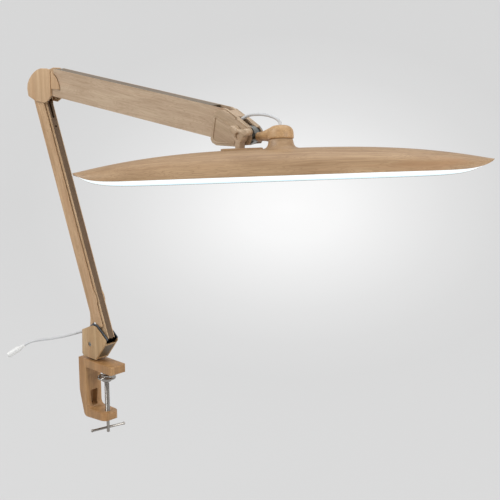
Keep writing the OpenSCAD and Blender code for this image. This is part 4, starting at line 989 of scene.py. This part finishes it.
@dataclass
class Clamp:
    """The cast C-clamp with its screw, pressure disc and tommy bar."""

    half: float = 15.0
    jaw: float = 13.4
    reach: float = 30.4
    back: float = -51.6
    inner: float = -33.6
    throat: float = -69.4
    low: float = -81.9
    fillet: float = 8.0
    screw_r: float = 4.0
    pitch: float = 2.0
    thread_top: float = -20.0
    thread_foot: float = -86.0
    screw_end: float = -106.0
    core_r: float = 2.5
    corner: float = 3.0
    round_over: float = 1.3
    # The leg's pocket: its half width at the top and at the foot, where it starts, and how deep it is cored
    pocket_half: Pair = (7.5, 5.25)
    pocket_top: float = -41.4
    pocket_deep: float = 12.0
    post_r: Pair = (7.9, 7.0)
    post_step: float = 4.3
    bar_r: float = 2.0
    bar_half: float = 30.0
    bar_z: float = -98.0
    bar_turn: float = 78.0

    def cast_frame(self) -> Piece:
        """Casts the C: a flat upper jaw with clipped corners, a leg cored from inside and a round-nosed lower jaw."""
        corner, foot = self.corner, self.low - 3.2
        nose = self.half - 1.0
        side = [
            (self.back, self.jaw), (self.reach - 1.5, self.jaw), (self.reach, self.jaw - 1.5), (self.reach, 1.0),
            (self.reach - 1.0, 0.0), *arc(self.inner + corner, -corner, corner, 90, 180, 10),
            *arc(self.inner + self.fillet, self.throat + self.fillet, self.fillet, 180, 270, 10),
            (nose, self.throat), (nose, self.low + 1.5), (nose - 3, self.low),
            *arc(self.inner - 1, foot + 8, 8.0, 270, 196, 10),
            (self.back + 5.3, self.throat + 5.9), (self.back + 2, self.throat + 18), (self.back, self.throat + 28),
        ]
        upper = [(self.back - 1, -self.half), *arc(self.reach - corner, corner - self.half, corner, -90, 0, 6)]
        upper += [(x, -y) for x, y in reversed(upper)]
        lower = [(self.back - 1, -self.half), *arc(0, 0, self.half, -90, 90, 24), (self.back - 1, self.half)]
        halves = []
        for name, plan, low, high in (("clamp_casting", upper, -1.0, 20.0), ("clamp_lower", lower, -99.0, -1.0)):
            piece = board(name, side, -self.half - 1, self.half + 1)
            combine(piece, board("plan", plan, low, high, Plane.XY), "INTERSECT")
            halves.append(piece)
        frame_piece, lower_half = halves
        combine(frame_piece, lower_half, "UNION")
        finish_with(frame_piece, "DECIMATE", decimate_type="DISSOLVE", angle_limit=math.radians(1.0))
        soften(frame_piece, self.round_over, 3, sharper_than=40)
        # The pocket narrows downwards
        (wide, narrow), head, heel = self.pocket_half, self.pocket_top, self.throat + 2
        pocket = board("pocket", [(-wide, head), (wide, head), (narrow, heel), (-narrow, heel)],
                       self.inner - self.pocket_deep, self.inner + 5)
        pocket.data.transform(PLACES.turned(-90, "Z"))
        soften(pocket, 1.6, 3, sharper_than=40)
        (wide, narrow), step = self.post_r, self.post_step
        post = turned_piece("post_hole", [(0, -5), (wide, -5), (wide, step), (narrow, step), (narrow, 30), (0, 30)], 48)
        post.data.transform(Matrix.Translation((PLACES.bracket[0], 0, 0)))
        cut(frame_piece, pocket, bore("bore", self.screw_r + 0.1, -100, -50, 40), post)
        return settle(frame_piece)

    def cut_screw(self) -> Piece:
        """Cuts the screw: a rolled thread of 2 mm pitch between a ball end and a plain foot."""
        top, foot, end, r = self.thread_top, self.thread_foot, self.screw_end, self.core_r
        crest, root = self.screw_r, self.screw_r - 0.75
        tooth = draw_ring("clamp_screw_thread", [(root, 0, 0), (crest, 0, 0.8), (crest, 0, 1.1), (root, 0, 1.9)],
                          "NOTHING")
        open_ring(tooth, {0, 3})
        turns = round((top - foot - self.pitch) / self.pitch)
        finish_with(tooth, "SCREW", axis="Z", angle=math.tau, screw_offset=self.pitch, iterations=turns, steps=28,
                    render_steps=28, use_merge_vertices=True, merge_threshold=0.15)
        tooth.data.transform(Matrix.Translation((0, 0, foot)))
        core = turned_piece("core", [(0, end), (r - 0.6, end), (r, end + 0.6), (r, foot), (root + 0.05, foot + 0.5),
                            (root + 0.05, top - 0.5), (r, top), (r, -15.2), (3.2, -14.8), (3.2, -13.2),
                            (2.6, -12.6), (0, -12.6)], 40)
        return settle(join(tooth, core))

    def turn_disc(self) -> Piece:
        """Turns the pressure disc, with the rings pressed in its face and the collar round the ball."""
        profile = [(0, -11.9), (3, -11.9), (4.2, -11.3), (5.2, -11.0), (5.8, -11.7), (7.4, -11.7), (8.1, -11.0),
                   (10.4, -11.0), (11.1, -11.7), (12.5, -11.7), (13.4, -11.0), (14.4, -11.1), (14.9, -11.6),
                   (15.0, -13.0), (14.6, -13.9), (13.2, -14.3), (9.6, -15.0), (8.0, -16.6), (7.4, -18.6), (6.6, -19.0),
                   (2.6, -19.0), (2.6, -15.3), (0, -15.3)]
        return settle(turned_piece("pressure_disc_turned", profile, 64), angle=24)

    def bend_bar(self) -> Piece:
        """Turns the tommy bar, with its upset ends."""
        r, half = self.bar_r, self.bar_half
        end = [(r, half - 3.2), (r * 1.12, half - 2.6), (r * 1.25, half - 1.8), (r * 1.22, half - 0.6), (r * 0.9, half)]
        profile = [(0, -half), *[(a, -b) for a, b in reversed(end)], *end, (0, half)]
        bar = turned_piece("tommy_bar_turned", profile, 32)
        place = PLACES.moved(0, 0, self.bar_z) @ PLACES.turned(self.bar_turn - 90, "Z") @ PLACES.turned(90, "X")
        return settle(bar, place)

    def build(self, finishes: Finishes) -> None:
        """Makes the clamp's pieces."""
        hand_over(self.cast_frame(), finishes.clamp, "base", "wood_print", "clamp_frame")
        hand_over(self.cut_screw(), finishes.chrome, "screw", "chrome", "clamp_screw")
        hand_over(self.turn_disc(), finishes.chrome, "pad", "chrome", "pressure_disc")
        hand_over(self.bend_bar(), finishes.chrome, "bar", "chrome", "tommy_bar")
        dress(finishes.black, "swivel_bush")
        dress(finishes.steel, "swivel_post", "swivel_collar", "post_clip")


@dataclass
class Bracket:
    """The swivelling bracket: a moulded cover round a steel liner, with the shoulder's screws."""

    outline: tuple[Pair, ...] = ((-15, 0), (-18.7, 4.2), (-17, 44.2), (9, 56), (18, 55.6), (42, 38), (42, 33.2),
                                 (15.4, 0))
    half: float = 12.7
    wall: float = 1.9
    # The shoulder's screws and the lead's grommet, in the bracket's own frame
    screw_at: Pair = (1.6, 23.2)
    lead_height: float = 37.2
    hole_r: float = 3.7
    swivel_r: float = 5.4
    # How much of the front the panel covers, and how deep its middle is sunk
    panel_share: float = 0.9
    sunk: float = 0.5
    liner_inner: float = 9.4
    liner_sheet: float = 1.2
    # How far each corner of the liner's cheeks stands off the cover's
    liner_shifts: tuple[Pair, ...] = ((2.3, 2.3), (2.5, 1.1), (2.3, -3.0), (-1.0, 2.2), (1.6, 2.2), (2.2, 1.1),
                                      (-3.1, 0.4), (-1.5, 2.3))

    def mould_cover(self) -> Piece:
        """Moulds the cover, hollow and open at the top, with its sloped front panel sunk a little."""
        p, w = self.outline, self.wall
        cover = board("bracket_cover_moulded", p, -self.half, self.half)
        soften(cover, 0.7, 3, sharper_than=30)
        # The front panel ends short of the sides' corner, clear of the arm
        foot = Vector(p[7])
        brow = foot.lerp(Vector(p[6]), self.panel_share)
        inside = [(p[0][0] + 1, w), (p[1][0] + w, p[1][1] + 0.8), (p[2][0] + w, p[2][1] - 2), p[2],
                  (p[2][0], 90), (90, 90), (90, brow.y), tuple(brow), (brow.x - w, brow.y + 0.6), (p[7][0] - 1, w)]
        cut(cover, board("inside", inside, -self.half + w, self.half - w))
        way = (brow - foot).normalized()
        out = Vector((way.y, -way.x))
        low, high = foot + way * 4, brow - way * 2.6
        sunk = [low + out * 2, low - out * self.sunk, high - out * self.sunk, high + out * 2]
        cut(cover, board("sunk_panel", [tuple(q) for q in sunk], -self.half + 3, self.half - 3))
        across = Matrix.Translation((self.screw_at[0], 0, self.screw_at[1])) @ PLACES.turned(90, "X")
        along = Matrix.Translation((0, 0, self.lead_height)) @ PLACES.turned(90, "Y")
        cut(cover, bore("screw_bore", self.hole_r, -40, 40, place=across),
            bore("lead_bore", self.hole_r, -30, -10, 24, along), bore("swivel_bore", self.swivel_r, -3, 6))
        return settle(cover, PLACES.in_bracket)

    def fold_liner(self) -> Piece:
        """Folds the steel liner: two cheeks whose rolled edges stand proud of the cover, and a floor between them."""
        inner, sheet = self.liner_inner, self.liner_sheet
        cheek = [(x + dx, z + dz) for (x, z), (dx, dz) in zip(self.outline, self.liner_shifts)]
        parts = [board("bracket_liner_folded", cheek, -inner - sheet, -inner),
                 board("cheek", cheek, inner, inner + sheet),
                 board("floor", [(-11.7, 2.3), (12.2, 2.3), (12.2, 3.5), (-11.7, 3.5)], -inner - 0.4, inner + 0.4)]
        # The edge over the arm is rolled
        parts += [bent_rod("rolled_edge", [(x, side * (inner + sheet / 2), z) for x, z in cheek[3:6]], 1.0, around=3,
                           smooth=False) for side in (-1, 1)]
        liner = join(*parts)
        cut(liner, bore("post_bore", 4.1, -9, 9))
        return settle(liner, PLACES.in_bracket)

    def darken_panel(self, cover: Piece, print_: Material) -> None:
        """Gives the sunk panel's own faces the darker print.

        Args:
            cover: The finished cover, in its place.
            print_: The darker print.
        """
        foot, brow = (Vector((self.outline[i][0], 0, self.outline[i][1])) for i in (7, 6))
        way = (brow - foot).normalized()
        out = Vector((way.z, 0, -way.x))
        level = (PLACES.in_bracket @ (foot * MM)).dot(out)
        cover.data.materials.append(print_)
        for face in cover.data.polygons:
            deep = face.center.dot(out) - level
            if face.normal.dot(out) > 0.98 and abs(deep + self.sunk * MM) < 0.2 * MM:
                face.material_index = 1

    def build(self, finishes: Finishes) -> None:
        """Makes the bracket's pieces."""
        cover = self.mould_cover()
        hand_over(cover, finishes.bracket, "turret", "wood_print", "bracket_cover")
        self.darken_panel(cover, finishes.panel)
        hand_over(self.fold_liner(), finishes.dark_steel, "turret", "dark_steel", "bracket_liner")
        dress(finishes.steel, "shoulder_screws", "shoulder_pin")


@dataclass
class Arms:
    """Both balanced arms: nested channels, their springs and what holds these."""

    wire: float = 0.6
    coil: float = 3.6
    pitch: float = 2.0
    curls: int = 40
    steps: int = 20
    # The number of the shank's last point, where the coil starts
    shank_end: int = 21
    hook_r: float = 3.3
    tail_r: float = 2.3
    side: float = 0.9
    # How far below the elbow's pivot the lower coil starts and its anchor is
    lower_top: float = 64.0
    lower_anchor: float = 158.0
    # Where the upper coil starts along its arm, its height and its anchor
    upper_start: float = 62.0
    upper_rise: float = 6.0
    upper_anchor: Pair = (160.0, 1.9)

    def loop(self, centre: Pair, radius: float, start: float, stop: float, side: float) -> list[Triple]:
        """A hook's part circle in the XZ plane.

        Args:
            centre: The pin's middle.
            radius: The hook's radius.
            start: Where it starts, in degrees.
            stop: Where it ends.
            side: Its distance from the middle plane.

        Returns:
            Points along the hook.
        """
        return [(x, side, z) for x, z in arc(*centre, radius, start, stop, self.shank_end - 3)]

    def winding(self) -> list[tuple[float, float, float]]:
        """The coil as pairs of offsets from its axis, and how far each is along it."""
        points = []
        for i in range(self.curls * self.steps + 1):
            angle = math.tau * i / self.steps
            points.append((-self.coil * math.cos(angle), self.coil * math.sin(angle), self.pitch * i / self.steps))
        return points

    def lower_spring(self) -> list[Triple]:
        """The lower spring's line, in the lower arm's frame."""
        lean, skew = math.radians(PLACES.lean), math.radians(PLACES.skew)
        x, z = PLACES.link
        pin = (x * math.cos(lean) + z * math.sin(lean), PLACES.lower_length - x * math.sin(lean) + z * math.cos(lean))

        def back(u: float) -> float:
            """Where the outer channel's back is at a height along the arm."""
            return 14 - (u - 48) * math.tan(skew)

        top, heel = PLACES.lower_length - self.lower_top, PLACES.lower_length - self.lower_anchor
        axis = back(top) + 1.2 + self.coil + self.wire + 0.5
        anchor = (back(heel) + 6, heel)
        path = self.loop(pin, self.hook_r, -70, 205, -self.side)
        path += [(pin[0] - 5, -self.side, pin[1] - 8), (axis + 6, -self.side, top + 14),
                 (axis - 1, -self.side / 2, top + 4)]
        path += [(axis + math.tan(skew) * d + a, b, top - d) for a, b, d in self.winding()]
        path += [(anchor[0] - 3.4, 0, anchor[1] + 7)]
        return path + self.loop(anchor, self.tail_r, 170, 420, 0)

    def upper_spring(self) -> list[Triple]:
        """The upper spring's line, in the upper arm's frame."""
        fall = math.radians(PLACES.fall)
        x, z = PLACES.link[0] - PLACES.arm_gap, PLACES.link[1]
        pin = (x * math.cos(fall) - z * math.sin(fall), x * math.sin(fall) + z * math.cos(fall))
        start, rise, side = self.upper_start, self.upper_rise, self.side
        path = self.loop(pin, self.hook_r, 340, 65, side)
        path += [(pin[0] + 9, side, pin[1] + 1.6), (start - 10, side, rise + 0.5 + self.coil),
                 (start - 3, side / 3, rise + self.coil)]
        path += [(start + d, b, rise - a) for a, b, d in self.winding()]
        path += [(self.upper_anchor[0] - 7, 0, self.upper_anchor[1] + 2.4)]
        return path + self.loop(self.upper_anchor, self.tail_r, 110, -140, 0)

    def wind(self, name: str, path: list[Triple], place: Matrix, finish: Material, node_name: str) -> None:
        """Winds one spring along its line.

        Args:
            name: The piece's name.
            path: Its middle line in the arm's frame.
            place: The arm's place.
            finish: The wire's material.
            node_name: The solid it stands for.
        """
        spring = bent_rod(name, path, self.wire, around=2, smooth=False)
        settle(spring, place, angle=60)
        spring.data.materials.append(finish)
        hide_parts(node_name)
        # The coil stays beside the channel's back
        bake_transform(spring)
        LOG.info("%s: wound", name)

    def build(self, finishes: Finishes) -> None:
        """Makes the arms' pieces."""
        for arm, outside, inside, path, place in (
            ("lower", finishes.lower, finishes.lower_web_painted_shade, self.lower_spring(), PLACES.in_lower),
            ("upper", finishes.upper, finishes.upper_web_painted_shade, self.upper_spring(), PLACES.in_upper),
        ):
            dress(outside, f"{arm}_outer_channel")
            # Each inner channel's finish carries painted shade
            dress(inside, f"{arm}_inner_channel")
            self.wind(f"{arm}_balance_spring", path, place, finishes.wire, f"{arm}_spring")
        dress(finishes.steel, "lower_spring_anchor", "upper_spring_anchor")


@dataclass
class Elbow:
    """The elbow's hub and its two rounded covers."""

    outline: tuple[Pair, ...] = ((-11, -12), (-13.4, 0), (-11.8, 8), (-7.3, 15), (-1, 21.4), (6, 26.6), (14, 30.8),
                                 (24, 33.6), (41, 34.2), (47, 32.2), (48.4, 28), (47.6, -8), (44, -13), (32, -19.8),
                                 (6, -18))
    inner: float = 11.6
    outer: float = 13.1

    def build(self, finishes: Finishes) -> None:
        """Makes the elbow's pieces."""
        for name, side, solid in (("elbow_cap_near", -1, "elbow_cover_near"), ("elbow_cap_far", 1, "elbow_cover_far")):
            low, high = sorted((side * self.inner, side * self.outer))
            cap = board(name, self.outline, low, high)
            soften(cap, 0.7, 3, sharper_than=50)
            hand_over(settle(cap, PLACES.in_elbow), finishes.elbow, "elbow", "wood_print", solid)
        dress(finishes.elbow, "elbow_hub")
        dress(finishes.steel, "elbow_rivets", "elbow_pin")


@dataclass
class Wrist:
    """The wrist: two plates with a raised bead, the hood, and the friction joint between them."""

    outline: tuple[Pair, ...] = ((-18, 30), (-10, 34), (0, 34.4), (19.6, 25.2), (19.8, 23.3), (42, 12.5), (44, 12),
                                 (49, 6), (49.2, 0), (45, -8), (36, -9.4), (25, -12.4), (-16, -14.4), (-24, -11.6),
                                 (-27.2, -7), (-21.6, 24))
    bead: tuple[Pair, ...] = ((-15.4, 24.2), (14.6, 11.2), (19.4, -8.4), (-14.6, -10.3), (-20.4, -7.8), (-22.3, -4.6),
                              (-17.6, 21.4))
    inner: float = 10.4
    outer: float = 12.0
    knob_reach: float = 19.5
    knob_low: float = -24.2
    knob_high: float = -13.2

    def press_plate(self, name: str, side: int) -> Piece:
        """Presses one plate with its rounded bead.

        Args:
            name: The piece's name.
            side: -1 for the near plate, 1 for the far one.

        Returns:
            The plate in its place.
        """
        low, high = sorted((side * self.inner, side * self.outer))
        plate = board(name, self.outline, low, high)
        soften(plate, 0.5, 2, sharper_than=50)
        bead = bent_rod("bead", [(x, 0.0, z) for x, z in self.bead], 1.1, around=3, cyclic=True, smooth=False)
        bead.data.transform(Matrix.Translation((0, side * self.outer, 0)) @ Matrix.Scale(0.95, 4, (0, 1, 0)))
        return settle(join(plate, bead), PLACES.in_wrist, angle=50)

    def lobe(self, angle: float) -> float:
        """The knob's radius at an angle, with three lobes and hollow sides between them.

        Args:
            angle: In degrees from the knob's first lobe.

        Returns:
            The radius in millimetres.
        """
        round_r, root = 4.6, self.knob_reach - 4.6
        off = math.radians(abs((angle + 60) % 120 - 60))
        reach = round_r * 2
        if root * math.sin(off) < round_r:
            reach = max(reach, root * math.cos(off) + math.sqrt(round_r**2 - (root * math.sin(off)) ** 2))
        if off > 0 and round_r / math.tan(off) <= root:
            reach = max(reach, round_r / math.sin(off))
        far, hollow = root * 1.02, root * 0.42
        side = math.radians(60) - off
        if far * math.sin(side) < hollow:
            reach = min(reach, far * math.cos(side) - math.sqrt(hollow**2 - (far * math.sin(side)) ** 2))
        return reach

    def mould_knob(self) -> Piece:
        """Moulds the three-lobed knob with a round well in its face."""
        outline = []
        for i in range(90):
            angle = 26 + 4 * i
            reach = self.lobe(4 * i)
            outline.append((reach * math.cos(math.radians(angle)), reach * math.sin(math.radians(angle))))
        knob = board("friction_knob_moulded", outline, self.knob_low, self.knob_high)
        soften(knob, 1.8, 4, sharper_than=60)
        well = turned_piece("well", [(0, -0.1), (5.6, -0.1), (5.0, 0.5), (4.6, 2.4), (0, 2.4)], 40)
        well.data.transform(Matrix.Translation((0, self.knob_low, 0)) @ PLACES.turned(-90, "X"))
        cut(knob, well)
        place = PLACES.in_tilt @ PLACES.turned(PLACES.rise, "Y")
        return settle(knob, place, angle=40)

    def build(self, finishes: Finishes) -> None:
        """Makes the wrist's pieces."""
        for end, side in (("near", -1), ("far", 1)):
            hand_over(self.press_plate(f"wrist_plate_{end}_pressed", side), finishes.wrist, "wrist", "wood_print",
                      f"wrist_plate_{end}")
        hand_over(self.mould_knob(), finishes.wrist, "knob", "wood_print_moulded", "friction_knob")
        dress(finishes.wrist, "wrist_hood")
        dress(finishes.steel, "wrist_rivets", "wrist_pin", "tilt_bolt", "tilt_nut", "friction_washers",
              "tilt_barrel")


@dataclass
class Neck:
    """The neck and the bulb at its end, one moulding."""

    start: float = 13.3
    radius: float = 6.2
    bulb_r: float = 17.0
    bulb_h: float = 18.6
    bulb_low: float = -7.9

    def mould(self) -> Piece:
        """Moulds the neck into the bulb with a soft root."""
        length = PLACES.neck_length
        # The root swells towards the bulb, by so much at so far from the eye
        swells = [(self.radius + out, self.start + far)
                  for out, far in ((-0.5, 0), (0, 0.6), (0, 8), (0.6, 13), (3, 23))]
        rod = turned_piece("neck_and_bulb_moulded", [(0, self.start), *swells, (self.radius + 3, length), (0, length)],
                           48)
        rod.data.transform(PLACES.turned(90, "Y"))
        bulge = []
        for i in range(25):
            t = i / 24
            bulge.append((self.bulb_r * (1 - t**4.2) ** (1 / 2.6), self.bulb_low + 1.5 + (self.bulb_h - 1.5) * t))
        bulb = turned_piece("bulb", [(0, self.bulb_low), (self.bulb_r - 2.2, self.bulb_low),
                            (self.bulb_r - 0.7, self.bulb_low + 0.6), *bulge[:-1], (0, bulge[-1][1])], 72)
        bulb.data.transform(Matrix.Translation((length, 0, 0)))
        combine(rod, bulb, "UNION")
        finish_with(rod, "REMESH", mode="VOXEL", voxel_size=0.55)
        finish_with(rod, "SMOOTH", factor=0.5, iterations=5)
        return settle(rod, PLACES.in_neck, angle=60)

    def build(self, finishes: Finishes) -> None:
        """Makes the neck."""
        hand_over(self.mould(), finishes.neck, "neck", "wood_print_moulded", "neck_and_bulb")


@dataclass
class Head:
    """The light head: the boat-shaped shade with its boss, the switch plate, the lit sheet and what is inside."""

    length: float = 540.0
    width: float = 88.0
    crown: float = 23.4
    rim: float = 15.3
    wall: float = 1.8
    plan_power: float = 3.66
    rim_power: float = 14.9
    crown_power: float = 2.67
    stations: int = 112
    arcs: int = 32
    boss_rise: float = 11.2
    boss_r: float = 15.8
    boss_fillet: float = 8.0
    boss_shares: tuple[Pair, ...] = ((1, 0), (0.84, 0.018), (0.7, 0.045), (0.57, 0.083), (0.45, 0.13), (0.34, 0.205),
                                     (0.24, 0.3), (0.16, 0.42), (0.1, 0.55), (0.06, 0.7), (0.03, 0.86), (-0.01, 0.95),
                                     (-0.08, 1))
    sheet: float = 2.0
    plate_x: float = -53.0
    plate_size: Pair = (54.0, 26.0)
    plate_corner: float = 4.0
    button_gap: float = 9.0
    button_r: float = 4.5
    button_play: float = 0.25

    def plan(self, s: float) -> float:
        """The share of the half width at a station from -1 to 1."""
        return (1 - abs(s) ** self.plan_power) ** (1 / self.plan_power)

    def rim_at(self, s: float) -> float:
        """The rim's height at a station."""
        return -self.rim * (1 - abs(s) ** self.rim_power)

    def crown_at(self, s: float) -> float:
        """The crown's height at a station."""
        return self.crown * (1 - abs(s) ** self.crown_power)

    def shell_point(self, s: float, angle: float, inset: float = 0.0) -> Triple:
        """A point on the shade.

        Args:
            s: The station, from -1 at one tip to 1 at the other.
            angle: From 0 at the near rim to pi at the far one.
            inset: How far inside the outer face it is.

        Returns:
            The point in the head's frame.
        """
        half = max(0.0, self.width / 2 * self.plan(s) - inset)
        low, top = self.rim_at(s), self.crown_at(s) - inset
        lift = max(0.0, top - low) * math.sin(angle) ** 0.8 if 0 < angle < math.pi else 0.0
        return (s * (self.length / 2 - inset), half * math.cos(angle), low + lift)

    def draw_shell(self) -> Piece:
        """Draws the shade's skin from tip to tip on a grid, and gives it its wall."""
        shell = grid("shade_moulded", self.stations, self.arcs)
        for vertex in shell.data.vertices:
            s = math.sin(math.pi / 2 * vertex.co.x)
            vertex.co = self.shell_point(s, math.pi * (1 - vertex.co.y) / 2)
        face_outwards(shell)
        return shell

    def mould_shade(self) -> Piece:
        """Moulds the shade with its boss and the window for the switch plate."""
        shell = self.draw_shell()
        finish_with(shell, "SOLIDIFY", thickness=self.wall, offset=-1.0, use_even_offset=True)
        boss = self.raise_boss()
        window = self.plate_shape("window", 0.0, self.crown - 6, self.crown + 6)
        cut(shell, window)
        join(shell, boss)
        return settle(shell, PLACES.in_shade, angle=38)

    def raise_boss(self) -> Piece:
        """Raises the boss from the crown with a fillet whose foot follows the shade's own curve."""
        top, hole = self.crown + self.boss_rise, 5.2
        profile = [(self.boss_r + self.boss_fillet * out, share) for out, share in self.boss_shares]
        boss = turned_piece("boss", [*profile, (hole, 1.0), (hole, -1.0), (profile[0][0], -1.0)], 96, closed=True)
        boss.data.transform(Matrix.Translation((-PLACES.head_offset, 0, 0)))
        for vertex in boss.data.vertices:
            flat = max(0.0, 1 - (2 * vertex.co.y / self.width) ** 2)
            foot = -self.rim + (self.crown + self.rim) * flat**0.4 - 0.06
            vertex.co.z = foot + (top - foot) * vertex.co.z if vertex.co.z >= 0 else foot - self.wall * 0.8
        return boss

    def plate_shape(self, name: str, grow: float, low: float, high: float) -> Piece:
        """A board with rounded corners where the switch plate is.

        Args:
            name: The piece's name.
            grow: How far it stands outside the plate's edge.
            low: Its underside's height.
            high: Its top's height.

        Returns:
            The board in the head's frame.
        """
        x, y, r = self.plate_size[0] / 2 + grow, self.plate_size[1] / 2 + grow, self.plate_corner
        outline = []
        for cx, cy, turn in ((x - r, y - r, 0), (r - x, y - r, 90), (r - x, r - y, 180), (x - r, r - y, 270)):
            outline += arc(self.plate_x + cx, cy, r, turn, turn + 90, 6)
        return board(name, outline, low, high, Plane.XY)

    def mould_plate(self) -> Piece:
        """Moulds the switch plate with its two holes."""
        plate = self.plate_shape("switch_plate_moulded", 0.0, self.crown - 3, self.crown + 0.8)
        soften(plate, 0.5, 2, sharper_than=50)
        for side in (-1, 1):
            spot = Matrix.Translation((self.plate_x + side * self.button_gap, 0, 0))
            cut(plate, bore("hole", self.button_r + self.button_play, 0, 60, 40, spot))
        return settle(plate, PLACES.in_shade)

    def mould_button(self, name: str, side: int) -> Piece:
        """Moulds one button with a dished top.

        Args:
            name: The piece's name.
            side: -1 for the power button, 1 for the dimmer's.

        Returns:
            The button in its place.
        """
        top, r = self.crown + 1.0, self.button_r
        # Its flange, its wall, and the dished top, measured down from its highest point
        shape = ((0, 4.6), (r + 0.8, 4.6), (r + 0.8, 3.6), (r, 3.6), (r, 0.6), (r - 0.2, 0.15), (r - 0.6, 0),
                 (3.2, 0.05), (1.6, 0.35), (0, 0.45))
        button = turned_piece(name, [(radius, top - down) for radius, down in shape], 48)
        button.data.transform(Matrix.Translation((self.plate_x + side * self.button_gap, 0, 0)))
        return settle(button, PLACES.in_shade, angle=40)

    def cast_sheet(self) -> Piece:
        """Casts the opal sheet: flat across, and following the rim up to the tips."""
        sheet = grid("diffuser_cast", self.stations, 6)
        gap, reach = self.wall + 0.3, 1 - 3 * self.wall / self.length * 2
        for vertex in sheet.data.vertices:
            s = math.sin(math.pi / 2 * vertex.co.x) * reach
            half = max(0.0, self.width / 2 * self.plan(s) - gap)
            room = self.crown_at(s) - gap - self.rim_at(s) - self.sheet
            vertex.co = (s * self.length / 2, half * vertex.co.y * (1.0 if room > 1 else 0.9), self.rim_at(s) + 0.3)
        finish_with(sheet, "SOLIDIFY", thickness=self.sheet, offset=1.0)
        face_outwards(sheet)
        return settle(sheet, PLACES.in_shade)

    def build(self, finishes: Finishes) -> None:
        """Makes the head's pieces."""
        hand_over(self.mould_shade(), finishes.head, "head", "wood_print_moulded", "shade")
        hand_over(self.mould_plate(), finishes.head, "head", "wood_print_moulded", "switch_plate")
        for key, side in (("power", -1), ("dimmer", 1)):
            hand_over(self.mould_button(f"{key}_button_moulded", side), finishes.head, f"{key}_key",
                      "wood_print_moulded", f"{key}_button")
        hand_over(self.cast_sheet(), finishes.opal, "head", "diffuser_white", "diffuser")
        dress(finishes.steel, "head_spindle", "spindle_nut", "tray_screws")
        dress(finishes.tray, "reflector_tray")
        dress(finishes.mask, "diode_board")
        dress(finishes.phosphor, "diode_chips")
        dress(finishes.green, "switch_board", "driver_board")
        dress(finishes.black, "tact_switches", "driver_parts")


def main() -> None:
    """Builds the studio and the lamp in order."""
    logging.basicConfig(level=logging.INFO, format="%(name)s: %(message)s")
    studio = Studio()
    studio.set_camera()
    finishes = Finishes(PLACES)
    for assembly in (Cables(), Clamp(), Bracket(), Arms(), Elbow(), Wrist(), Neck(), Head()):
        LOG.info("building the %s", type(assembly).__name__.lower())
        assembly.build(finishes)
    studio.build_sweep()
    studio.stand_cards()
    studio.set_lamps()


if __name__ == "__main__":
    main()
